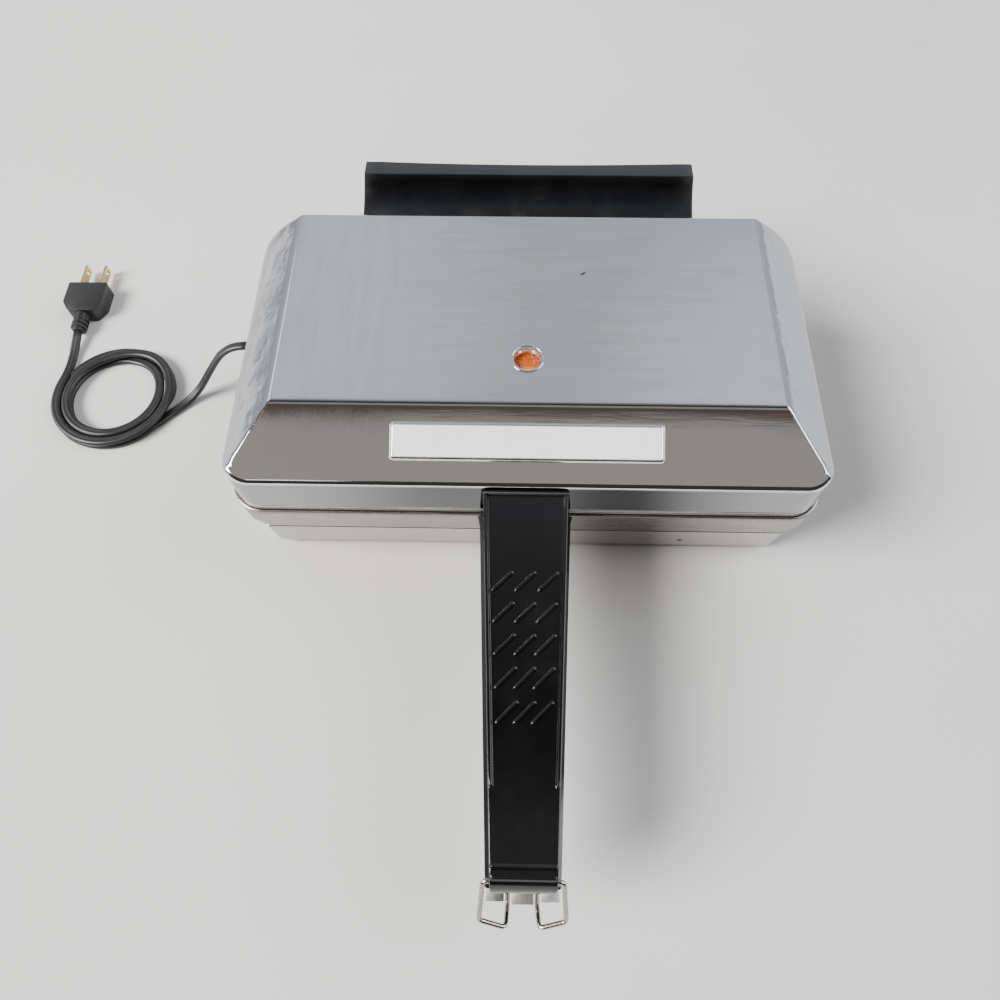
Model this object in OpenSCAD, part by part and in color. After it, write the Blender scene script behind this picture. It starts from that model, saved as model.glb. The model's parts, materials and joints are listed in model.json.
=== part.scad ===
// Electric pizzelle baker: two cast plates in pressed covers, hinged at the back,
// closed at the front by a wire bail on a pair of handles.
// Millimetres. Z is up from the table, Y runs to the back, X to the right.

/* [Covers] */
// Width of the lid, side to side
lid_w = 285; // [260:1:300]
// Depth of the lid, front to back
lid_d = 154.5; // [150:0.5:170]
// Height of the flat top of the lid above the table
lid_top = 99; // [95:0.5:110]
// Height of the bend between the skirt and the slopes of the lid
lid_bend = 83.4; // [80:0.2:88]
// How far the front slope of the lid reaches back
front_slope = 35.5; // [25:0.5:45]
// How far each side slope of the lid reaches in
side_slope = 22.5; // [15:0.5:30]
// Corner radius of the lid, seen from above
corner_r = 14; // [10:1:16]
// Sheet thickness of the pressed covers
sheet = 1; // [0.8:0.1:1.5]
// How far the rim of the lower cover stands out past the lid
rim_out = 2.5; // [1:0.25:3]

/* [Plates] */
// Height of the lower edge of the lid's skirt, on the upper plate
upper_seat = 61.5; // [61:0.1:62.5]
// Height of the rim of the lower cover, under the lower plate
lower_seat = 57; // [56:0.1:57.5]
// Gap between the two closed plates
plate_gap = 0.3; // [0.3:0.1:0.6]
// Diameter of each round pattern
disc_d = 127; // [110:1:130]
// Depth of each round pattern
disc_depth = 1.6; // [1:0.1:1.8]
// Number of petals in the pattern
petals = 10; // [8:2:14]

/* [Handles] */
// Reach of the upper handle past the front of the lid
handle_reach = 166.2; // [150:0.2:175]
// Width of the upper handle at its root
handle_w = 39.5; // [36:0.5:44]
// Width of the upper handle at its tip
handle_tip_w = 26; // [24:0.5:32]
// Height of the top of the upper handle at its root
handle_top = 79; // [76:0.5:81]

/* [Latch] */
// Thickness of the wire
wire_d = 2; // [1.8:0.1:3]
// Height of the pivot of the bail
pivot_z = 66; // [64:0.5:68]

/* [Rest and hinge] */
// Width of the black rest behind the lid
rest_w = 178; // [150:1:200]
// How far the far edge of the rest stands behind the front of the lid
rest_reach = 192.9; // [185:0.1:200]
// Diameter of the hinge pins
pin_d = 5; // [4:0.5:6]

/* [Cord] */
// Width of the flat twin cord
cord_w = 5.6; // [5:0.1:7]
// Thickness of the flat twin cord
cord_t = 3.6; // [3:0.1:4]

/* [Hidden] */
$fn = 48;
half_w = lid_w / 2;

// Lower cover: inset of its wall from the lid's outline at its top, crease and bottom
wall_in = [-1, 5.5, 7];
wall_z = [lower_seat - 1.5, 26, 5];
ledge_in = 4;

// Plates: heights of the two faces and backs, and the lugs that bolts run through
lower_face = (upper_seat + lower_seat - plate_gap) / 2;
upper_face = lower_face + plate_gap;
flange_in = 0.5;
flange_t = lower_face - lower_seat;
block_in = 14;
plate_t = 9;
lower_back = lower_face - plate_t;
upper_back = upper_face + plate_t;
disc_x = disc_d / 2 + 3.5;
disc_y = lid_d / 2;
lug_w = 12;
bolt_x = 10;
bolt_r = 2;

// Heating elements: tube radius, and the bends and runs of the loop
element_r = 3.3;
loop_r = 38;
loop_x = 82;
pan_in = 18;
pan_drop = 10;
pan_t = 0.6;

// Base
cover_z = 6;
cover_in = 8.3;
foot_at = [118, 24];
foot_spots = [for (x = [-1, 1], y = [-1, 1]) [x * foot_at.x, lid_d / 2 + y * (lid_d / 2 - foot_at.y)]];

// Lamp
lamp_y = 60.8;

// Handles
handle_y = -0.8;
root_low = 36;
upper_low = upper_face + 0.4;
lower_top = lower_face - 0.3;
upper_bolt_z = 70;
lower_bolt_z = 46;
tip_top = handle_top - 6;
root_half = handle_w / 2;
tip_half = handle_tip_w / 2;
lower_root_half = 22.25;
lower_tip_half = 15;
panel_end = 129;
grip_at = [10.1, 42.2];
grip_step = 14.15;

// Latch
wire_r = wire_d / 2;
pivot_r = wire_r + 0.05;
pivot_y = 4.2 - handle_reach;
strike_z = 43.8;
strike_t = 1.2;
bail_z = strike_z - wire_r - 0.3;
HALF_BAIL = [[12.9, pivot_y, pivot_z], [15.7, pivot_y, pivot_z], [17.3, pivot_y - 13.6, 50],
    [6.65, pivot_y - 16.2, 47], [6, pivot_y - 8, bail_z], [6, pivot_y + 3.5, bail_z]];
bail_reach = handle_reach + 12.8;

// Rest and hinge
hinge_y = lid_d + 10.5;
hinge_z = 45;
hinge_x = 106;
eye_r = 6;
ear_t = 2;
lower_ears = 6.5;
upper_ears = 4;
rest_screw = [45, 82];
upper_screw_z = [67, 75];
lower_screw_z = [40, 49];

// Screws from the base cover up into the lugs of the lower plate
cover_screws = [[-bolt_x, 12.2], [bolt_x, 12.2], [-hinge_x, lid_d - 12.2], [hinge_x, lid_d - 12.2]];

// The origin is under the middle of the whole length, from the bail to the rest
front_y = (bail_reach - rest_reach) / 2;

// Cord: out of the left side, down to the table, round the coil and on to the plug
cord_exit = [-139, 115, 37];
coil_at = [-250, 102];
coil_r = [28, 34];
plug_z = 5.5;
LEAD = [[-161, 115, 37], [-167, 114.9, 36.3], [-173, 114.4, 34.1], [-178.8, 113.2, 29.8],
    [-184.6, 111.4, 22.8], [-190.1, 109.1, 15.7], [-195.4, 106.3, 8.9], [-200.4, 102.9, 4.6],
    [-205, 99, 2.5], [-209.2, 94.8, 1.8], [-214.9, 89.2, 1.8], [-220.5, 83.5, 1.8],
    [-226, 78, 1.8]];
TAIL = [[-284, 102, 5.4], [-284, 109, 4.8], [-284, 117, 2.9], [-284, 125, 1.9],
    [-284, 133, 2.2], [-284, 141, 3.8], [-284, 149, 5.4]];

// ---------- outlines and common shapes ----------

function unit(v) = v / norm(v);

// A closed outline moved inwards by d
function inset(p, d) = let (n = len(p)) [for (i = [0:n - 1]) let (
    u = unit(p[i] - p[(i + n - 1) % n]), v = unit(p[(i + 1) % n] - p[i]),
    a = [-u.y, u.x], b = [-v.y, v.x]) p[i] + d / (1 + a * b) * (a + b)];

// A closed outline with corner i rounded to radius r[i]
function rounded(p, r, steps = 5) = let (n = len(p)) [for (i = [0:n - 1]) let (
    u = unit(p[(i + n - 1) % n] - p[i]), v = unit(p[(i + 1) % n] - p[i]),
    half = acos(u * v) / 2, centre = p[i] + unit(u + v) * r[i] / sin(half),
    from = p[i] + u * r[i] / tan(half) - centre, to = p[i] + v * r[i] / tan(half) - centre,
    start = atan2(from.y, from.x), sweep = (atan2(to.y, to.x) - start + 540) % 360 - 180)
    each r[i] == 0 ? [p[i]] : [for (k = [0:steps]) let (a = start + sweep * k / steps)
        centre + r[i] * [cos(a), sin(a)]]];

// Points of an arc round c
function arc(c, r, from, to, steps = 8) =
    [for (k = [0:steps]) let (a = from + (to - from) * k / steps) c + r * [cos(a), sin(a)]];

// Inset of the lower cover's wall at height z, above its crease
function wall_at(z) = wall_in[1] + (wall_in[0] - wall_in[1]) * (z - wall_z[1]) / (wall_z[0] - wall_z[1]);

// Parts are drawn with y = 0 at the front of the lid, and moved to the frame here
module place() translate([0, front_y, 0]) children();

module both_sides() for (m = [0, 1]) mirror([m, 0, 0]) children();

// A side view, drawn in y and z, given a width along x
module along_x(w) rotate([90, 0, 90]) linear_extrude(w, center = true) children();

// A front view, drawn in x and z, run from y0 to y1
module along_y(y0, y1) translate([0, y1, 0]) rotate([90, 0, 0]) linear_extrude(y1 - y0) children();

// The lid's outline from above, moved inwards by d, with corner radius r
module outline(d, r) translate([0, lid_d / 2]) {
    w = lid_w - 2 * d;
    l = lid_d - 2 * d;
    square([w - 2 * r, l], center = true);
    square([w, l - 2 * r], center = true);
    for (x = [-1, 1], y = [-1, 1]) translate([x * (w / 2 - r), y * (l / 2 - r)]) circle(r);
}

// A level slab of that outline between two heights
module slab(d, r, z0, z1) translate([0, 0, z0]) linear_extrude(z1 - z0) outline(d, r);

// A slot with round ends, along x
module round_slot(length, width) {
    square([length - width, width], center = true);
    for (x = [-1, 1]) translate([x * (length - width) / 2, 0]) circle(d = width, $fn = 24);
}

// A cylinder along y
module bar_y(x, z, r, y0, y1) translate([x, y0, z]) rotate([-90, 0, 0]) cylinder(r = r, h = y1 - y0);

// A screw along y with its slotted pan head beyond y_head
module screw_y(x, z, r, y_head, y_end) {
    out = sign(y_head - y_end);
    bar_y(x, z, r, min(y_head, y_end), max(y_head, y_end));
    difference() {
        bar_y(x, z, 1.9 * r, min(y_head, y_head + out * r), max(y_head, y_head + out * r));
        translate([x, y_head + out * r, z]) cube([4 * r, r, 0.8], center = true);
    }
}

// A path through points with each corner bent to radius r
function corner(u, v, p, r, steps = 4) = let (half = acos(u * v) / 2,
    c = p + unit(u + v) * r / sin(half), a = -unit(u + v), b = cross(unit(cross(u, v)), a))
    [for (k = [0:steps]) let (turn = (90 - half) * (1 - 2 * k / steps))
        c + r * (cos(turn) * a + sin(turn) * b)];
function bent(p, r) = [for (i = [0:len(p) - 1]) each i == 0 || i == len(p) - 1 ? [p[i]] :
    corner(unit(p[i - 1] - p[i]), unit(p[i + 1] - p[i]), p[i], r)];

// Direction at each point of a path, and a sideways vector there: level, or carried along without twist
function along(p) = let (n = len(p)) [for (i = [0:n - 1]) unit(p[min(i + 1, n - 1)] - p[max(i - 1, 0)])];
function level(t) = [for (v = t) unit(cross([0, 0, 1], v))];
function carried(t, first) = [for (i = 0, s = first; i < len(t);
    i = i + 1, s = i < len(t) ? unit(s - (s * t[i]) * t[i]) : s) s];

// A tube of width w and thickness h swept along a path, with n sides
module tube(path, side, w, h, n) {
    t = along(path);
    last = len(path) - 1;
    points = [for (i = [0:last], k = [0:n - 1]) let (a = (k + 0.5) * 360 / n)
        path[i] + w / 2 * cos(a) * side[i] + h / 2 * sin(a) * cross(t[i], side[i])];
    sides = [for (i = [0:last - 1], k = [0:n - 1]) let (j = (k + 1) % n)
        [n * i + k, n * i + n + k, n * i + n + j, n * i + j]];
    polyhedron(points, concat([[for (k = [0:n - 1]) k]], sides, [[for (k = [n - 1:-1:0]) n * last + k]]));
}

// ---------- lid ----------

// The lid's solid form, moved inwards by d
module lid_form(d) {
    low = upper_seat - 3 * d;
    front = [[-half_w, low], [half_w, low], [half_w, lid_bend], [half_w - side_slope, lid_top],
        [side_slope - half_w, lid_top], [-half_w, lid_bend]];
    side = [[0, low], [lid_d, low], [lid_d, lid_top], [front_slope, lid_top], [0, lid_bend]];
    intersection() {
        slab(d, corner_r - d, low, lid_top);
        along_y(-1, lid_d + 1) polygon(rounded(inset(front, d), [0, 0, 3 - d, 7 - d, 7 - d, 3 - d]));
        along_x(lid_w + 2) polygon(rounded(inset(side, d), [0, 0, 1.5 - d, 7 - d, 3 - d]));
    }
}

module lid_shell() color("silver") place() difference() {
    lid_form(0);
    lid_form(sheet);
    translate([0, lamp_y, lid_top - 3]) cylinder(d = 13, h = 6);
    for (x = [-bolt_x, bolt_x]) bar_y(x, upper_bolt_z, bolt_r + 0.1, -1, 3);
    for (x = [-rest_screw.x, rest_screw.x]) bar_y(x, rest_screw.y, 2.1, lid_d - 3, lid_d + 1);
    for (x = [-hinge_x, hinge_x], z = upper_screw_z) bar_y(x, z, 1.6, lid_d - 3, lid_d + 1);
}

// Bare plate with a raised border, lying on the front slope
module nameplate() color("white") place() {
    plate_w = 125.5;
    plate_l = 16.6;
    border = 1.2;
    tilt = atan2(lid_top - lid_bend, front_slope);
    translate([0, front_slope / 2 + 1.2, (lid_top + lid_bend) / 2 + 1.2 * tan(tilt)]) rotate([tilt, 0, 0]) {
        linear_extrude(0.7) square([plate_w, plate_l], center = true);
        linear_extrude(1.2) difference() {
            square([plate_w, plate_l], center = true);
            square([plate_w - 2 * border, plate_l - 2 * border], center = true);
        }
    }
}

// Dished ring round the lamp
module lamp_bezel() color("silver") place() translate([0, lamp_y, lid_top]) rotate_extrude()
    polygon([[6.05, -6], [6.45, -6], [6.45, 0], [7.8, 0], [7.6, 0.5], [7, 0.7], [6.4, 0.3], [6.05, -0.6]]);

// Domed lens with crossed grooves, hollow above the glow lamp
module lamp_lens() color("orange") place() translate([0, lamp_y, lid_top]) difference() {
    intersection() {
        translate([0, 0, -9]) cylinder(r = 6, h = 9);
        translate([0, 0, -13.4]) sphere(11);
    }
    translate([0, 0, -10]) cylinder(r = 4.6, h = 5);
    for (a = [45, 135], i = [-3:3]) rotate(a) translate([i * 1.4, 0, -1.8])
        cube([0.3, 16, 2.6], center = true);
}

// Glow lamp with its two leads
module neon_lamp() color("tomato") place() translate([0, lamp_y, lid_top]) {
    translate([0, 0, -12.6]) cylinder(r = 2.2, h = 5);
    translate([0, 0, -7.6]) sphere(2.2);
    for (x = [-1, 1]) translate([x, 0, -17]) cylinder(r = 0.4, h = 5);
}

// ---------- plates, elements and reflectors ----------

// Petal between two arcs, long along x
module petal(length, width, rib, h) {
    r = (length * length + width * width) / (4 * width);
    module lens(cut) intersection() for (m = [-1, 1])
        translate([0, m * (r - width / 2), -cut]) cylinder(r = r - cut, h = h + 2 * cut);
    difference() {
        lens(0);
        lens(rib);
    }
}

// Traditional snowflake: a boss, two rings, petals between them and a star of spokes
module pattern(h) {
    rib = 1.2;
    middle = disc_d * 0.29;
    outer = disc_d / 2 - 4;
    cylinder(r = 4, h = h);
    for (r = [middle, outer]) difference() {
        cylinder(r = r, h = h);
        translate([0, 0, -1]) cylinder(r = r - rib, h = h + 2);
    }
    for (i = [0:petals - 1]) rotate(i * 360 / petals) {
        translate([middle / 2 + 1.2, 0]) petal(middle - 5, middle * 0.4, rib, h);
        for (lean = [-1, 1]) translate([middle - 0.6, 0, 0]) rotate(lean * 32)
            translate([0, -rib / 2, 0]) cube([outer - middle + 3, rib, h]);
    }
}

// Lugs that the bolts and screws run through, from y back
module lower_lug(x, y) translate([x - lug_w / 2, y, -28]) cube([lug_w, 9.5, 27]);
module upper_lug(x, y) translate([x - lug_w / 2, y, -20]) cube([lug_w, 7, 19]);

// A plate with its cooking face up at z = 0
module grill_plate() {
    difference() {
        union() {
            slab(flange_in, corner_r - flange_in, -flange_t, 0);
            slab(block_in, 5, -plate_t, -1);
        }
        for (x = [-disc_x, disc_x]) translate([x, disc_y, -disc_depth])
            cylinder(d = disc_d, h = 3);
    }
    for (x = [-disc_x, disc_x]) translate([x, disc_y, -disc_depth - 0.3]) pattern(disc_depth - 0.2);
}

module lower_grill_plate() color("darkgray") place() difference() {
    translate([0, 0, lower_face]) {
        grill_plate();
        for (x = [-bolt_x, bolt_x]) lower_lug(x, 6);
        for (x = [-hinge_x, hinge_x]) lower_lug(x, lid_d - 15.5);
    }
    for (x = [-bolt_x, bolt_x]) bar_y(x, lower_bolt_z, bolt_r + 0.1, 0, 18);
    for (x = [-hinge_x, hinge_x], z = lower_screw_z) bar_y(x, z, 1.52, lid_d - 18, lid_d);
    for (p = cover_screws) translate([p.x, p.y, 20]) cylinder(r = 1.52, h = 16);
}

module upper_grill_plate() color("darkgray") place() difference() {
    translate([0, 0, upper_face]) mirror([0, 0, 1]) {
        grill_plate();
        for (x = [-bolt_x, bolt_x]) upper_lug(x, 1.2);
        for (x = [-hinge_x, hinge_x]) upper_lug(x, lid_d - 8.2);
    }
    for (x = [-bolt_x, bolt_x]) bar_y(x, upper_bolt_z, bolt_r + 0.1, 0, 14);
    for (x = [-hinge_x, hinge_x], z = upper_screw_z) bar_y(x, z, 1.52, lid_d - 14, lid_d);
}

// Tubular element: a flat loop with its two ends turned away from the plate, tube centre at z = 0
module element() translate([0, disc_y, 0]) {
    both_sides() {
        translate([loop_x, 0, 0]) rotate(-90) rotate_extrude(angle = 180)
            translate([loop_r, 0]) circle(element_r);
        translate([18, loop_r, 0]) rotate([0, 90, 0]) cylinder(r = element_r, h = loop_x - 18);
        translate([18, loop_r, -8]) rotate([90, 0, 180]) rotate_extrude(angle = 90)
            translate([8, 0]) circle(element_r);
        translate([10, loop_r, -10]) cylinder(r = element_r, h = 2);
        translate([10, loop_r, -15]) cylinder(r = 1.2, h = 5);
    }
    translate([-loop_x, -loop_r, 0]) rotate([0, 90, 0]) cylinder(r = element_r, h = 2 * loop_x);
}

// Straps over the element, their feet on the plate's back at z = element_r
module clamps() for (x = [-50, 50], s = [-1, 1]) translate([x, disc_y + s * loop_r, 0]) difference() {
    union() {
        rotate([0, 90, 0]) cylinder(r = element_r + 1, h = 9, center = true);
        translate([0, 0, element_r - 0.5]) cube([9, 20, 1], center = true);
        for (t = [-1, 1]) translate([0, t * 7.6, element_r - 2.3]) cylinder(r = 2.2, h = 1.4);
    }
    rotate([0, 90, 0]) cylinder(r = element_r + 0.02, h = 10, center = true);
    translate([-5, -element_r - 0.02, 0]) cube([10, 2 * element_r + 0.04, 5]);
    translate([-6, -12, element_r]) cube([12, 24, 4]);
}

// Pan behind the element, its rim on the plate's back at z = 0
module pan() difference() {
    slab(pan_in, 8, -pan_drop, 0);
    slab(pan_in + pan_t, 8 - pan_t, pan_t - pan_drop, 1);
    both_sides() translate([10, disc_y + loop_r, -pan_drop - 1]) cylinder(r = 5, h = 3);
    for (x = [-100:20:100]) translate([x, disc_y, -pan_drop - 1])
        linear_extrude(3) rotate(90) round_slot(14, 4);
}

module lower_heating_element() color("dimgray") place()
    translate([0, 0, lower_back - element_r]) element();
module upper_heating_element() color("dimgray") place()
    translate([0, 0, upper_back + element_r]) mirror([0, 0, 1]) element();
module lower_element_clamps() color("gainsboro") place()
    translate([0, 0, lower_back - element_r]) clamps();
module upper_element_clamps() color("gainsboro") place()
    translate([0, 0, upper_back + element_r]) mirror([0, 0, 1]) clamps();
module lower_reflector() color("gainsboro") place() translate([0, 0, lower_back]) pan();
module upper_reflector() color("gainsboro") place()
    translate([0, 0, upper_back]) mirror([0, 0, 1]) pan();

// ---------- base ----------

// The lower cover's solid form, moved inwards by d
module base_form(d) {
    function half(i) = half_w - wall_in[i];
    front = [[-half(2), wall_z[2]], [half(2), wall_z[2]], [half(1), wall_z[1]], [half(0), wall_z[0]],
        [-half(0), wall_z[0]], [-half(1), wall_z[1]]];
    side = [for (p = front) [lid_d / 2 + p.x - sign(p.x) * (half_w - lid_d / 2), p.y]];
    crease = [0, 0, 2, 0, 0, 2];
    intersection() {
        slab(wall_in[0] + d, corner_r - wall_in[0] - d, wall_z[2] - 2 * d, wall_z[0] + d);
        along_y(-5, lid_d + 5) polygon(rounded(open_ends(inset(front, d), 3 * d), crease));
        along_x(lid_w + 10) polygon(rounded(open_ends(inset(side, d), 3 * d), crease));
    }
}

// The same outline with its bottom edge lowered and its top edge raised by h
function open_ends(p, h) = [for (i = [0:5]) p[i] + [0, i < 2 ? -h : i == 3 || i == 4 ? h : 0]];

// Round bead along an outline moved inwards by d, at height z
module bead(d, r, z, bead_r) translate([0, lid_d / 2, z]) {
    x = half_w - d;
    y = lid_d / 2 - d;
    for (s = [-1, 1]) {
        translate([0, s * y, 0]) rotate([0, 90, 0])
            cylinder(r = bead_r, h = 2 * (x - r), center = true, $fn = 24);
        translate([s * x, 0, 0]) rotate([90, 0, 0])
            cylinder(r = bead_r, h = 2 * (y - r), center = true, $fn = 24);
    }
    for (i = [0:3]) translate([[1, -1, -1, 1][i] * (x - r), [1, 1, -1, -1][i] * (y - r), 0])
        rotate(90 * i) rotate_extrude(angle = 90) translate([r, 0]) circle(bead_r, $fn = 24);
}

module lower_shell() color("silver") place() {
    rim_t = lower_seat - wall_z[0];
    difference() {
        union() {
            difference() {
                base_form(0);
                base_form(sheet);
            }
            difference() {
                slab(rim_t / 2 - rim_out, corner_r + rim_out - rim_t / 2, wall_z[0], lower_seat);
                slab(ledge_in, corner_r - ledge_in, wall_z[0] - 1, lower_seat + 1);
            }
            bead(rim_t / 2 - rim_out, corner_r + rim_out - rim_t / 2, lower_seat - rim_t / 2, rim_t / 2);
        }
        for (x = [-bolt_x, bolt_x]) bar_y(x, lower_bolt_z, bolt_r + 0.1, -2, 6);
        for (x = [-hinge_x, hinge_x], z = lower_screw_z) bar_y(x, z, 1.6, lid_d - 8, lid_d);
        translate([-half_w - 2, cord_exit.y, cord_exit.z]) rotate([0, 90, 0]) cylinder(r = 4.6, h = 12);
        bar_y(70, 13.5, 1.5, -2, 10);
    }
}

module base_cover() color("gainsboro") place() difference() {
    slab(cover_in, 7, cover_z, cover_z + sheet);
    for (p = cover_screws) translate([p.x, p.y, 0]) cylinder(r = 1.7, h = 20);
    for (p = foot_spots) translate([p.x, p.y, 0]) cylinder(r = 3.2, h = 20);
    for (x = [-70:20:70], y = [-1, 1]) translate([x, disc_y + y * 30, 0]) linear_extrude(20)
        rotate(90) round_slot(26, 4);
}

module base_cover_screws() color("gray") place() for (p = cover_screws) translate([p.x, p.y, 0]) {
    translate([0, 0, cover_z - 1.6]) cylinder(r = 3.2, h = 1.6);
    translate([0, 0, cover_z]) cylinder(r = 1.5, h = 28);
}

// Feet: a soft cone, with a neck through the cover and a lip over it
module rubber_feet() color("black") place() for (p = foot_spots) translate([p.x, p.y, 0]) rotate_extrude()
    polygon([[0, 0], [7, 0], [7.4, 0.5], [8.6, cover_z], [3.1, cover_z], [3.1, cover_z + sheet],
        [4.2, cover_z + sheet], [3.4, cover_z + 3.4], [0, cover_z + 3.4]]);

// Disc thermostat, clipped to the back of the lower plate
module thermostat() color("saddlebrown") place() translate([0, disc_y, lower_back]) {
    translate([0, 0, -1.2]) cylinder(r = 8.5, h = 1.2);
    translate([0, 0, -6]) cylinder(r = 7.6, h = 4.8);
    for (s = [-1, 1]) translate([s * 9.5, 0, -4.6]) cube([8, 6, 0.8], center = true);
}

// Ceramic block where the cord meets the element leads
module terminal_block() color("ivory") place() translate([-104, cord_exit.y, cover_z + sheet]) difference() {
    translate([-13, -9, 0]) cube([26, 18, 13]);
    for (y = [-4.5, 4.5]) translate([0, y, 7]) {
        rotate([0, 90, 0]) cylinder(r = 1.8, h = 40, center = true);
        for (x = [-6, 6]) translate([x, 0, 0]) cylinder(r = 1.5, h = 20);
    }
}

// ---------- handles ----------

// Plan of a handle, from its root at y0 to its tip
module handle_plan(root, tip, y0, y1) polygon(rounded([[root, y0], [-root, y0], [-tip, y1], [tip, y1]],
    [0, 0, 1, 1]));

function half_at(y) = root_half + (tip_half - root_half) * y / handle_reach;

// The sloping top of the upper handle, with its surface at z = 0 and y running down the handle
module on_handle() translate([0, handle_y, handle_top])
    rotate([atan2(handle_top - tip_top, 148 + handle_y), 0, 0]) mirror([0, 1, 0]) children();

module upper_handle() color("black") place() {
    panel = 1.2;
    rim = 2.2;
    difference() {
        intersection() {
            translate([0, 0, upper_low]) linear_extrude(30)
                handle_plan(root_half, tip_half, handle_y, -handle_reach);
            along_x(60) polygon(rounded([[handle_y, upper_low], [handle_y, handle_top], [-148, tip_top],
                [-handle_reach, tip_top - 0.6], [-handle_reach, upper_low]], [0, 2, 0, 9, 3]));
        }
        on_handle() translate([0, 0, -panel]) linear_extrude(5) polygon(rounded(
            [[half_at(0) - rim, -3], [half_at(panel_end) - rim, panel_end],
            [rim - half_at(panel_end), panel_end], [rim - half_at(0), -3]], [0, 3, 3, 0]));
        translate([0, 0, upper_low - 1]) linear_extrude(8) polygon([[half_at(34) - 5, -34],
            [5 - half_at(34), -34], [5 - half_at(146), -146], [half_at(146) - 5, -146]]);
        for (x = [-bolt_x, bolt_x]) bar_y(x, upper_bolt_z, bolt_r + 0.02, -24, 1);
        both_sides() translate([8, pivot_y, pivot_z]) rotate([0, 90, 0]) cylinder(r = pivot_r + 0.07, h = 12);
    }
    on_handle() {
        for (column = [-1:1], row = [0:4])
            translate([column * grip_at.x * (1 - 0.067 * row), grip_at.y + grip_step * row, -panel - 0.2])
                linear_extrude(panel + 0.1) rotate(-45) round_slot(13.4, 2.4);
        for (y = [157.2, 161.2]) translate([0, y - 0.8, 0]) rotate([0, 90, 0])
            cylinder(r = 0.7, h = 2 * half_at(y) - 1, center = true, $fn = 24);
    }
}

module upper_handle_gasket() color("black") place() difference() {
    along_y(handle_y, 0) translate([0, 70.2]) square([2 * root_half + 0.8, 17.4], center = true);
    for (x = [-bolt_x, bolt_x]) bar_y(x, upper_bolt_z, bolt_r + 0.1, -2, 1);
}

module upper_handle_bolts() color("gray") place()
    for (x = [-bolt_x, bolt_x]) screw_y(x, upper_bolt_z, bolt_r, 8.2, -22);

// The lower handle's root lies against the slanting wall, clear of the rim
module lower_handle() color("black") place() difference() {
    under_rim = wall_z[0] - 0.6;
    intersection() {
        translate([0, 0, root_low - 1]) linear_extrude(40)
            handle_plan(lower_root_half, lower_tip_half, 4, -164.5);
        along_x(60) polygon([[-rim_out - 0.7, lower_top], [-rim_out - 0.7, under_rim],
            [wall_at(under_rim) + handle_y, under_rim], [wall_at(root_low) + handle_y, root_low],
            [-140, strike_z + strike_t], [-164.5, strike_z + strike_t], [-164.5, lower_top]]);
    }
    for (x = [-bolt_x, bolt_x]) bar_y(x, lower_bolt_z, bolt_r + 0.02, -22, 6);
    for (x = [-8, 8]) translate([x, -152, strike_z]) cylinder(r = 1.52, h = 9);
}

module lower_handle_gasket() color("black") place() difference() {
    low = root_low + 1;
    high = wall_z[0] - 1.2;
    along_x(2 * lower_root_half + 1.6) polygon([[wall_at(low), low], [wall_at(high), high],
        [wall_at(high) + handle_y, high], [wall_at(low) + handle_y, low]]);
    for (x = [-bolt_x, bolt_x]) bar_y(x, lower_bolt_z, bolt_r + 0.1, -6, 6);
}

module lower_handle_bolts() color("gray") place()
    for (x = [-bolt_x, bolt_x]) screw_y(x, lower_bolt_z, bolt_r, 15.5, -20);

// ---------- latch ----------

// Plate under the lower handle's tip: its lip turns up, and the bail hooks under the middle
module strike_plate() color("silver") place() difference() {
    lip_y = -165.4;
    along_x(2 * lower_tip_half) polygon([[-142, strike_z], [lip_y, strike_z], [-170, strike_z + 1.5],
        [-170, strike_z + 1.5 + strike_t], [lip_y - 0.2, strike_z + strike_t], [-142, strike_z + strike_t]]);
    both_sides() {
        translate([7.4, -171, strike_z - 1]) cube([10, 2, 6]);
        translate([4.5, -171, strike_z - 1]) cube([3, 6.5, 6]);
    }
    for (x = [-8, 8]) translate([x, -152, strike_z - 1]) cylinder(r = 1.6, h = 9);
}

module strike_plate_screws() color("gray") place() for (x = [-8, 8]) translate([x, -152, strike_z]) {
    translate([0, 0, -1.3]) cylinder(r = 2.8, h = 1.3);
    cylinder(r = 1.5, h = 8);
}

// Wire bail: pivots in the upper handle's tip, opens into two finger loops and hooks under the plate
module latch_bail() color("lightgray") place() {
    other_half = [for (i = [5:-1:0]) [-HALF_BAIL[i].x, HALF_BAIL[i].y, HALF_BAIL[i].z]];
    path = bent(concat(HALF_BAIL, other_half), 2);
    tube(path, carried(along(path), [0, 1, 0]), wire_d, wire_d, 10);
    both_sides() translate([8.4, pivot_y, pivot_z]) rotate([0, 90, 0]) cylinder(r = pivot_r, h = 5.1);
}

// ---------- rest and hinge ----------

// Black rest behind the lid: a cove that rises to a flat lip, hollowed a little along its far edge
module rear_rest() color("black") place() difference() {
    centre = [lid_d + 4, 96];
    along_x(rest_w) polygon(concat(
        [[lid_d, 66], [lid_d + 4.5, 66]],
        arc(centre, 27.5, -75, 0),
        [[rest_reach - 5, 97], [rest_reach, 98.3], [rest_reach, 100.5], [rest_reach - 11.1, 101.9]],
        arc(centre, 23, 0, -90),
        [[lid_d + 4, 91], [lid_d, 91]]));
    sag = 2;
    bow = (rest_w * rest_w / 4 + sag * sag) / (2 * sag);
    translate([0, rest_reach - sag + bow, 96]) cylinder(r = bow, h = 20, $fn = 480);
    for (x = [-rest_screw.x, rest_screw.x]) bar_y(x, rest_screw.y, 2.1, lid_d - 1, lid_d + 5);
}

module rest_screws() color("gray") place() for (x = [-rest_screw.x, rest_screw.x]) {
    screw_y(x, rest_screw.y, 2, lid_d + 4, lid_d - 8);
    bar_y(x, rest_screw.y, 3.5, lid_d - 4.2, lid_d - sheet);
}

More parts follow.
